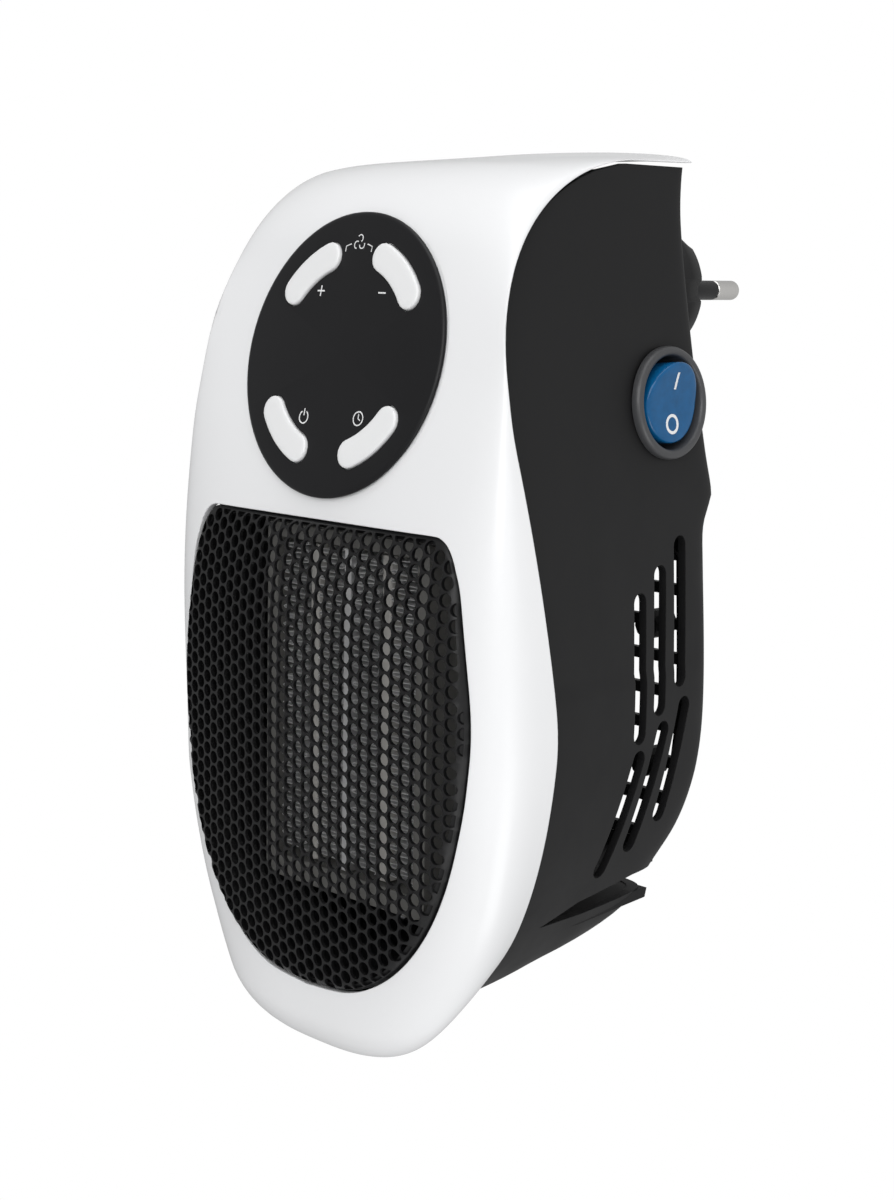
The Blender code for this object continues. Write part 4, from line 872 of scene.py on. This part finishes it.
def control_panel():
    r = PANEL_RADIUS
    rim = [(0, -0.9), (0, 0), (r - 1.2, 0), (r - 0.75, -0.06), (r - 0.35, -0.2), (r - 0.1, -0.42),
           (r, -0.7), (r, -0.9)]
    panel = turned("panel_disc", rim, 160, on_panel, "panel_black", 50)
    tools = [prism(f"tool_{name}", key_outline(angle, 0.3), -3, 3, on_panel)
             for name, angle in KEY_ANGLES.items()]
    combine(panel, tools, angle=50)
    placed(panel, "housing", "panel_black", "control_panel")
    for name, angle in KEY_ANGLES.items():
        rings = []
        for grow, height in ((0.5, -2.4), (0.5, -1.3), (0, -1.3), (0, 0.3), (-0.08, 0.5), (-0.25, 0.63),
                             (-0.6, KEY_PROUD), (-1.6, KEY_PROUD)):
            rings.append([on_panel(a, b, height) for a, b in key_outline(angle, grow)])
        cap = lofted(f"{name}_cap", rings, "key_white", 50)
        placed(cap, f"{name}_body", "key_white", name)


def ribbon(path, width, closed=False):
    """Left and right edges of a printed line along a path."""
    path = np.array(path, float)
    if closed:
        ahead = np.roll(path, -1, axis=0) - np.roll(path, 1, axis=0)
    else:
        ahead = np.gradient(path, axis=0)
    ahead /= np.linalg.norm(ahead, axis=1)[:, None]
    side = np.stack([-ahead[:, 1], ahead[:, 0]], axis=1) * width / 2
    return path + side, path - side


def printed(name, strokes, place, look, body, low=0.01, high=0.05):
    """Thin raised print made of strokes: (path, width, closed)."""
    points = []
    faces = []
    for path, width, closed in strokes:
        left, right = ribbon(path, width, closed)
        n = len(left)
        base = len(points)
        for a, b in zip(left, right):
            points += [place(*a, low), place(*b, low), place(*b, high), place(*a, high)]
        for i in range(n if closed else n - 1):
            p, q = base + 4 * i, base + 4 * ((i + 1) % n)
            faces += [(p + k, p + (k + 1) % 4, q + (k + 1) % 4, q + k) for k in range(4)]
        if not closed:
            faces += [(base, base + 1, base + 2, base + 3)]
            end = base + 4 * (n - 1)
            faces += [(end + 3, end + 2, end + 1, end)]
    piece = made(name, points, faces, look, 50)
    placed(piece, body, look)


def arc(centre, radius, start, end, count=24):
    turns = np.radians(np.linspace(start, end, count))
    return [(centre[0] + radius * math.cos(t), centre[1] + radius * math.sin(t)) for t in turns]


def polar(radius, degrees):
    t = math.radians(degrees)
    return radius * math.cos(t), radius * math.sin(t)


def legend(name, strokes):
    printed(f"legend_{name}", strokes, on_panel, "key_white", "housing")


def legends():
    """Generic symbols: plus, minus, a small fan, a power ring and a clock face."""
    x, y = polar(17.0, 126)
    across = [(x - LEGEND_SIZE, y), (x, y), (x + LEGEND_SIZE, y)]
    gap = LEGEND_WIDTH / 2
    below = [(x, y - LEGEND_SIZE), (x, y - gap)]
    above = [(x, y + gap), (x, y + LEGEND_SIZE)]
    legend("plus", [(stroke, LEGEND_WIDTH, False) for stroke in (across, below, above)])
    x, y = polar(17.0, 54)
    legend("minus", [([(x - LEGEND_SIZE, y), (x + LEGEND_SIZE, y)], LEGEND_WIDTH, False)])
    x, y = polar(16.6, 240)
    legend("power", [(arc((x, y), 1.4, 120, 420), 0.32, False), ([(x, y + 0.3), (x, y + 1.9)], 0.32, False)])
    x, y = polar(16.6, 305)
    hands = [(x, y + 1.0), (x, y), (x + 0.7, y - 0.4)]
    legend("timer", [(arc((x, y), 1.5, 0, 345), 0.3, True), (hands, 0.28, False)])
    blades = []
    for angle in (90, 210, 330):
        a, b = polar(0.95, angle)
        blades.append((arc((a, 24.6 + b), 0.8, angle - 150, angle + 60, 14), 0.26, False))
    legend("fan", blades)
    for name, way in (("left", -1), ("right", 1)):
        bracket = [(way * 2.6, 24.3), (way * 4.2, 23.8), (way * 4.2, 22.6)]
        legend(f"bracket_{name}", [(bracket, 0.24, False)])


# ================================================================ rocker switch
def rocker_height(up):
    """Height of the rocker's face over the cheek at a distance up from its middle."""
    level = 2.3 + 1.6 * (abs(up) / 9.0) ** 1.5
    return level * math.cos(ROCKER_TILT) + up * math.sin(ROCKER_TILT) - ROCKER_PIVOT_DEPTH


def rocker_cap(sides=72):
    """The rocker's domed button: a skirt below the cheek, a rounded edge and a dished face."""
    rows = [(0.55, lambda up: -5.0), (1.0, lambda up: -1.0)]
    for share, drop in ((1.0, 0.7), (0.985, 0.32), (0.955, 0.1), (0.9, 0), (0.75, 0), (0.5, 0), (0.25, 0)):
        rows.append((share, lambda up, drop=drop: rocker_height(up) - drop))
    rings = []
    for share, height in rows:
        ring = circle(ROCKER_RADIUS * share, sides)
        rings.append([on_cheek(a, b, height(b)) for a, b in ring])
    points = [point for ring in rings for point in ring] + [on_cheek(0, 0, rocker_height(0))]
    top = len(points) - 1
    faces = []
    for k in range(len(rows) - 1):
        for i in range(sides):
            n = (i + 1) % sides
            faces.append((k * sides + i, k * sides + n, (k + 1) * sides + n, (k + 1) * sides + i))
    last = top - sides
    faces += [(last + i, last + (i + 1) % sides, top) for i in range(sides)]
    faces.append(tuple(range(sides)))
    cap = made("rocker_cap", points, faces, "blue_clear", 50)
    placed(cap, "rocker", "blue_clear", "switch_rocker")


def rocker_switch():
    bezel = [(10.35, -13), (10.35, 1.5), (10.5, 2.0), (10.9, 2.35), (11.3, 2.4), (11.8, 2.3), (12.2, 2.0),
             (12.45, 1.5), (BEZEL_RADIUS, 0.9), (BEZEL_RADIUS, 0.3), (11.2, 0.3), (11.2, -15), (0, -15),
             (0, -13)]
    ring = turned("switch_bezel", bezel, 96, on_cheek, "grey_plastic", 50)
    placed(ring, "housing", "grey_plastic", "switch_body")
    rocker_cap()

    def on_rocker(a, b, c):
        return on_cheek(a, b, rocker_height(b) + c)

    bar = [(0, b) for b in np.linspace(2.9, 6.6, 8)]
    circle_mark = arc((0, -4.7), 1.9, 0, 345, 32)
    for name, path, closed in (("on", bar, False), ("off", circle_mark, True)):
        stroke = (path, MARK_WIDTH, closed)
        printed(f"rocker_mark_{name}", [stroke], on_rocker, "key_white", "rocker", -0.05, 0.06)


# ================================================================ heating core
def fin_ribbon(name, x_low, x_high, node, pitch=2.05, sheet=0.16):
    """A folded aluminium strip with tight folds."""
    top = CORE_Z + CORE_HALF_HEIGHT - 0.5
    count = int((2 * CORE_HALF_HEIGHT - 1) / pitch)
    step = pitch / 2
    path = []
    for k in range(2 * count + 1):
        x = x_low if k % 2 else x_high
        z = top - k * step
        inward = 0.5 if k % 2 else -0.5
        path += [(x + inward, z + 0.32), (x, z), (x + inward, z - 0.32)]
    left, right = ribbon(path, sheet)
    outline_points = []
    faces = []
    for (a, b), (c, d) in zip(left, right):
        outline_points += [(a, CORE_FRONT + 0.3, b), (c, CORE_FRONT + 0.3, d), (c, CORE_BACK - 0.4, d),
                           (a, CORE_BACK - 0.4, b)]
    for i in range(len(path) - 1):
        p, q = 4 * i, 4 * i + 4
        faces += [(p + k, p + (k + 1) % 4, q + (k + 1) % 4, q + k) for k in range(4)]
    end = 4 * (len(path) - 1)
    faces += [(0, 1, 2, 3), (end + 3, end + 2, end + 1, end)]
    strip = made(name, outline_points, faces, "aluminium", 30)
    placed(strip, "housing", "aluminium", node)


def heating_core():
    for number, (low, high) in enumerate(FIN_RANGES, 1):
        fin_ribbon(f"fins_{number}", low, high, f"fin_strip_{number}")
    reach = CORE_HALF_HEIGHT - 0.4
    for name, x in (("left", -BAR_OFFSET), ("right", BAR_OFFSET)):
        bar = rounded_box(2.9, CORE_BACK - CORE_FRONT - 1.2, 0.6, (x, (CORE_FRONT + CORE_BACK) / 2), 4)
        rod = prism(f"heating_bar_{name}", bar, CORE_Z - reach, CORE_Z + reach, lambda *p: p, "ceramic")
        placed(rod, "housing", "ceramic", f"ptc_element_{name}")


# ================================================================ screws
def cover_screws():
    """Domed screws with a cross recess in the intake panel."""
    for number in range(1, 5):
        low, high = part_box(f"cover_screw_{number}")
        x, z = (low.x + high.x) / 2 / MM, (low.z + high.z) / 2 / MM
        head = high.y / MM
        place = spot_y(x, z)
        profile = [(0, head), (0, head - 6.5), (1.1, head - 6), (1.1, head - 1.5), (2.2, head - 1.5),
                   (2.2, head - 0.7), (1.9, head - 0.3), (1.2, head - 0.05)]
        screw = turned(f"cover_screw_{number}_head", profile, 32, place, "steel", 40)
        tools = []
        for k, (w, h) in enumerate(((2.4, 0.55), (0.55, 2.4))):
            slot = rounded_box(w, h, 0.1, (0, 0), 2)
            tools.append(prism(f"tool_cross_{number}_{k}", slot, head - 0.9, head + 1, place))
        combine(screw, tools, angle=40)
        placed(screw, "housing", "steel", f"cover_screw_{number}")


# ================================================================ carried-over nodes
def dress_nodes():
    """Every CAD node that stays gets its slot's finish."""
    slots = {row["node"]: row["material_slot"] for row in frame["record"]["subparts"]}
    for name, obj in NODES.items():
        obj.data.materials.clear()
        obj.data.materials.append(LOOKS[slots[name]])


# ================================================================ studio
def camera():
    """The view from the heater's front right, a little above, with a slight roll."""
    turn, rise, roll = math.radians(46), math.radians(9.04), math.radians(1.08)
    back = Vector((math.sin(turn) * math.cos(rise), -math.cos(turn) * math.cos(rise), math.sin(rise)))
    right = Vector((math.cos(turn), math.sin(turn), 0))
    up = back.cross(right)
    x = right * math.cos(roll) + up * math.sin(roll)
    y = up * math.cos(roll) - right * math.sin(roll)
    lens = bpy.data.cameras.new("camera")
    lens.sensor_fit = "VERTICAL"
    lens.sensor_height = 36
    lens.lens = 64.65
    lens.clip_start = 0.01
    eye = bpy.data.objects.new("camera", lens)
    eye.matrix_world = Matrix([[x.x, y.x, back.x, 0.35533], [x.y, y.y, back.y, -0.41351],
                               [x.z, y.z, back.z, 0.00695], [0, 0, 0, 1]])
    bpy.context.scene.collection.objects.link(eye)
    bpy.context.scene.camera = eye


def glowing(name, strength):
    shiny = bpy.data.materials.new(name)
    shiny.use_nodes = True
    nodes = shiny.node_tree.nodes
    nodes.remove(nodes["Principled BSDF"])
    glow = nodes.new("ShaderNodeEmission")
    glow.inputs["Color"].default_value = (1, 1, 1, 1)
    glow.inputs["Strength"].default_value = strength
    shiny.node_tree.links.new(glow.outputs["Emission"], nodes["Material Output"].inputs["Surface"])
    return shiny


def backdrop():
    """A white floor and a white surround that the camera sees, but that cast no light or shadow."""
    bm = bmesh.new()
    bmesh.ops.create_icosphere(bm, subdivisions=4, radius=4.0)
    bmesh.ops.reverse_faces(bm, faces=bm.faces)
    mesh = bpy.data.meshes.new("surround")
    bm.to_mesh(mesh)
    bm.free()
    surround = bpy.data.objects.new("surround", mesh)
    mesh.materials.append(glowing("surround_white", 1.0))
    floor_mesh = bpy.data.meshes.new("floor")
    reach = 3.0
    level = -0.26
    floor_mesh.from_pydata([(-reach, -reach, level), (reach, -reach, level), (reach, reach, level),
                            (-reach, reach, level)], [], [(0, 1, 2, 3)])
    floor = bpy.data.objects.new("floor", floor_mesh)
    floor_mesh.materials.append(glowing("floor_white", 1.0))
    for obj in (surround, floor):
        bpy.context.scene.collection.objects.link(obj)
        obj.visible_diffuse = False
        obj.visible_glossy = False
        obj.visible_shadow = False


def softbox(name, position, target, size, power):
    light = bpy.data.lights.new(name, "AREA")
    light.shape = "RECTANGLE"
    light.size, light.size_y = size
    light.energy = power
    obj = bpy.data.objects.new(name, light)
    obj.location = position
    obj.rotation_euler = (Vector(target) - Vector(position)).to_track_quat("-Z", "Y").to_euler()
    bpy.context.scene.collection.objects.link(obj)


def lighting():
    world = bpy.data.worlds.new("studio")
    world.use_nodes = True
    nodes = world.node_tree.nodes
    links = world.node_tree.links
    background = nodes["Background"]
    coords = nodes.new("ShaderNodeTexCoord").outputs["Generated"]
    split = nodes.new("ShaderNodeSeparateXYZ")
    links.new(coords, split.inputs[0])
    ramp = nodes.new("ShaderNodeMapRange")
    ramp.inputs["From Min"].default_value = -1
    ramp.inputs["From Max"].default_value = 1
    ramp.inputs["To Min"].default_value = 0.40
    ramp.inputs["To Max"].default_value = 0.66
    links.new(split.outputs["X"], ramp.inputs["Value"])
    links.new(ramp.outputs["Result"], background.inputs["Strength"])
    background.inputs["Color"].default_value = (1, 1, 1, 1)
    bpy.context.scene.world = world
    centre = (0, -0.06, -0.07)
    softbox("key_light", (0.75, -1.25, 0.45), centre, (1.1, 1.1), 11)
    softbox("top_light", (0.1, -0.3, 1.3), centre, (1.2, 1.2), 7)
    softbox("low_light", (1.0, -0.25, -0.75), centre, (0.7, 0.7), 3.5)


def build():
    bpy.context.scene.view_settings.view_transform = "Standard"
    dress_nodes()
    white_shell()
    honeycomb()
    outlet_collar()
    dark_housing()
    plug()
    control_panel()
    legends()
    rocker_switch()
    heating_core()
    cover_screws()
    backdrop()
    lighting()
    camera()


build()
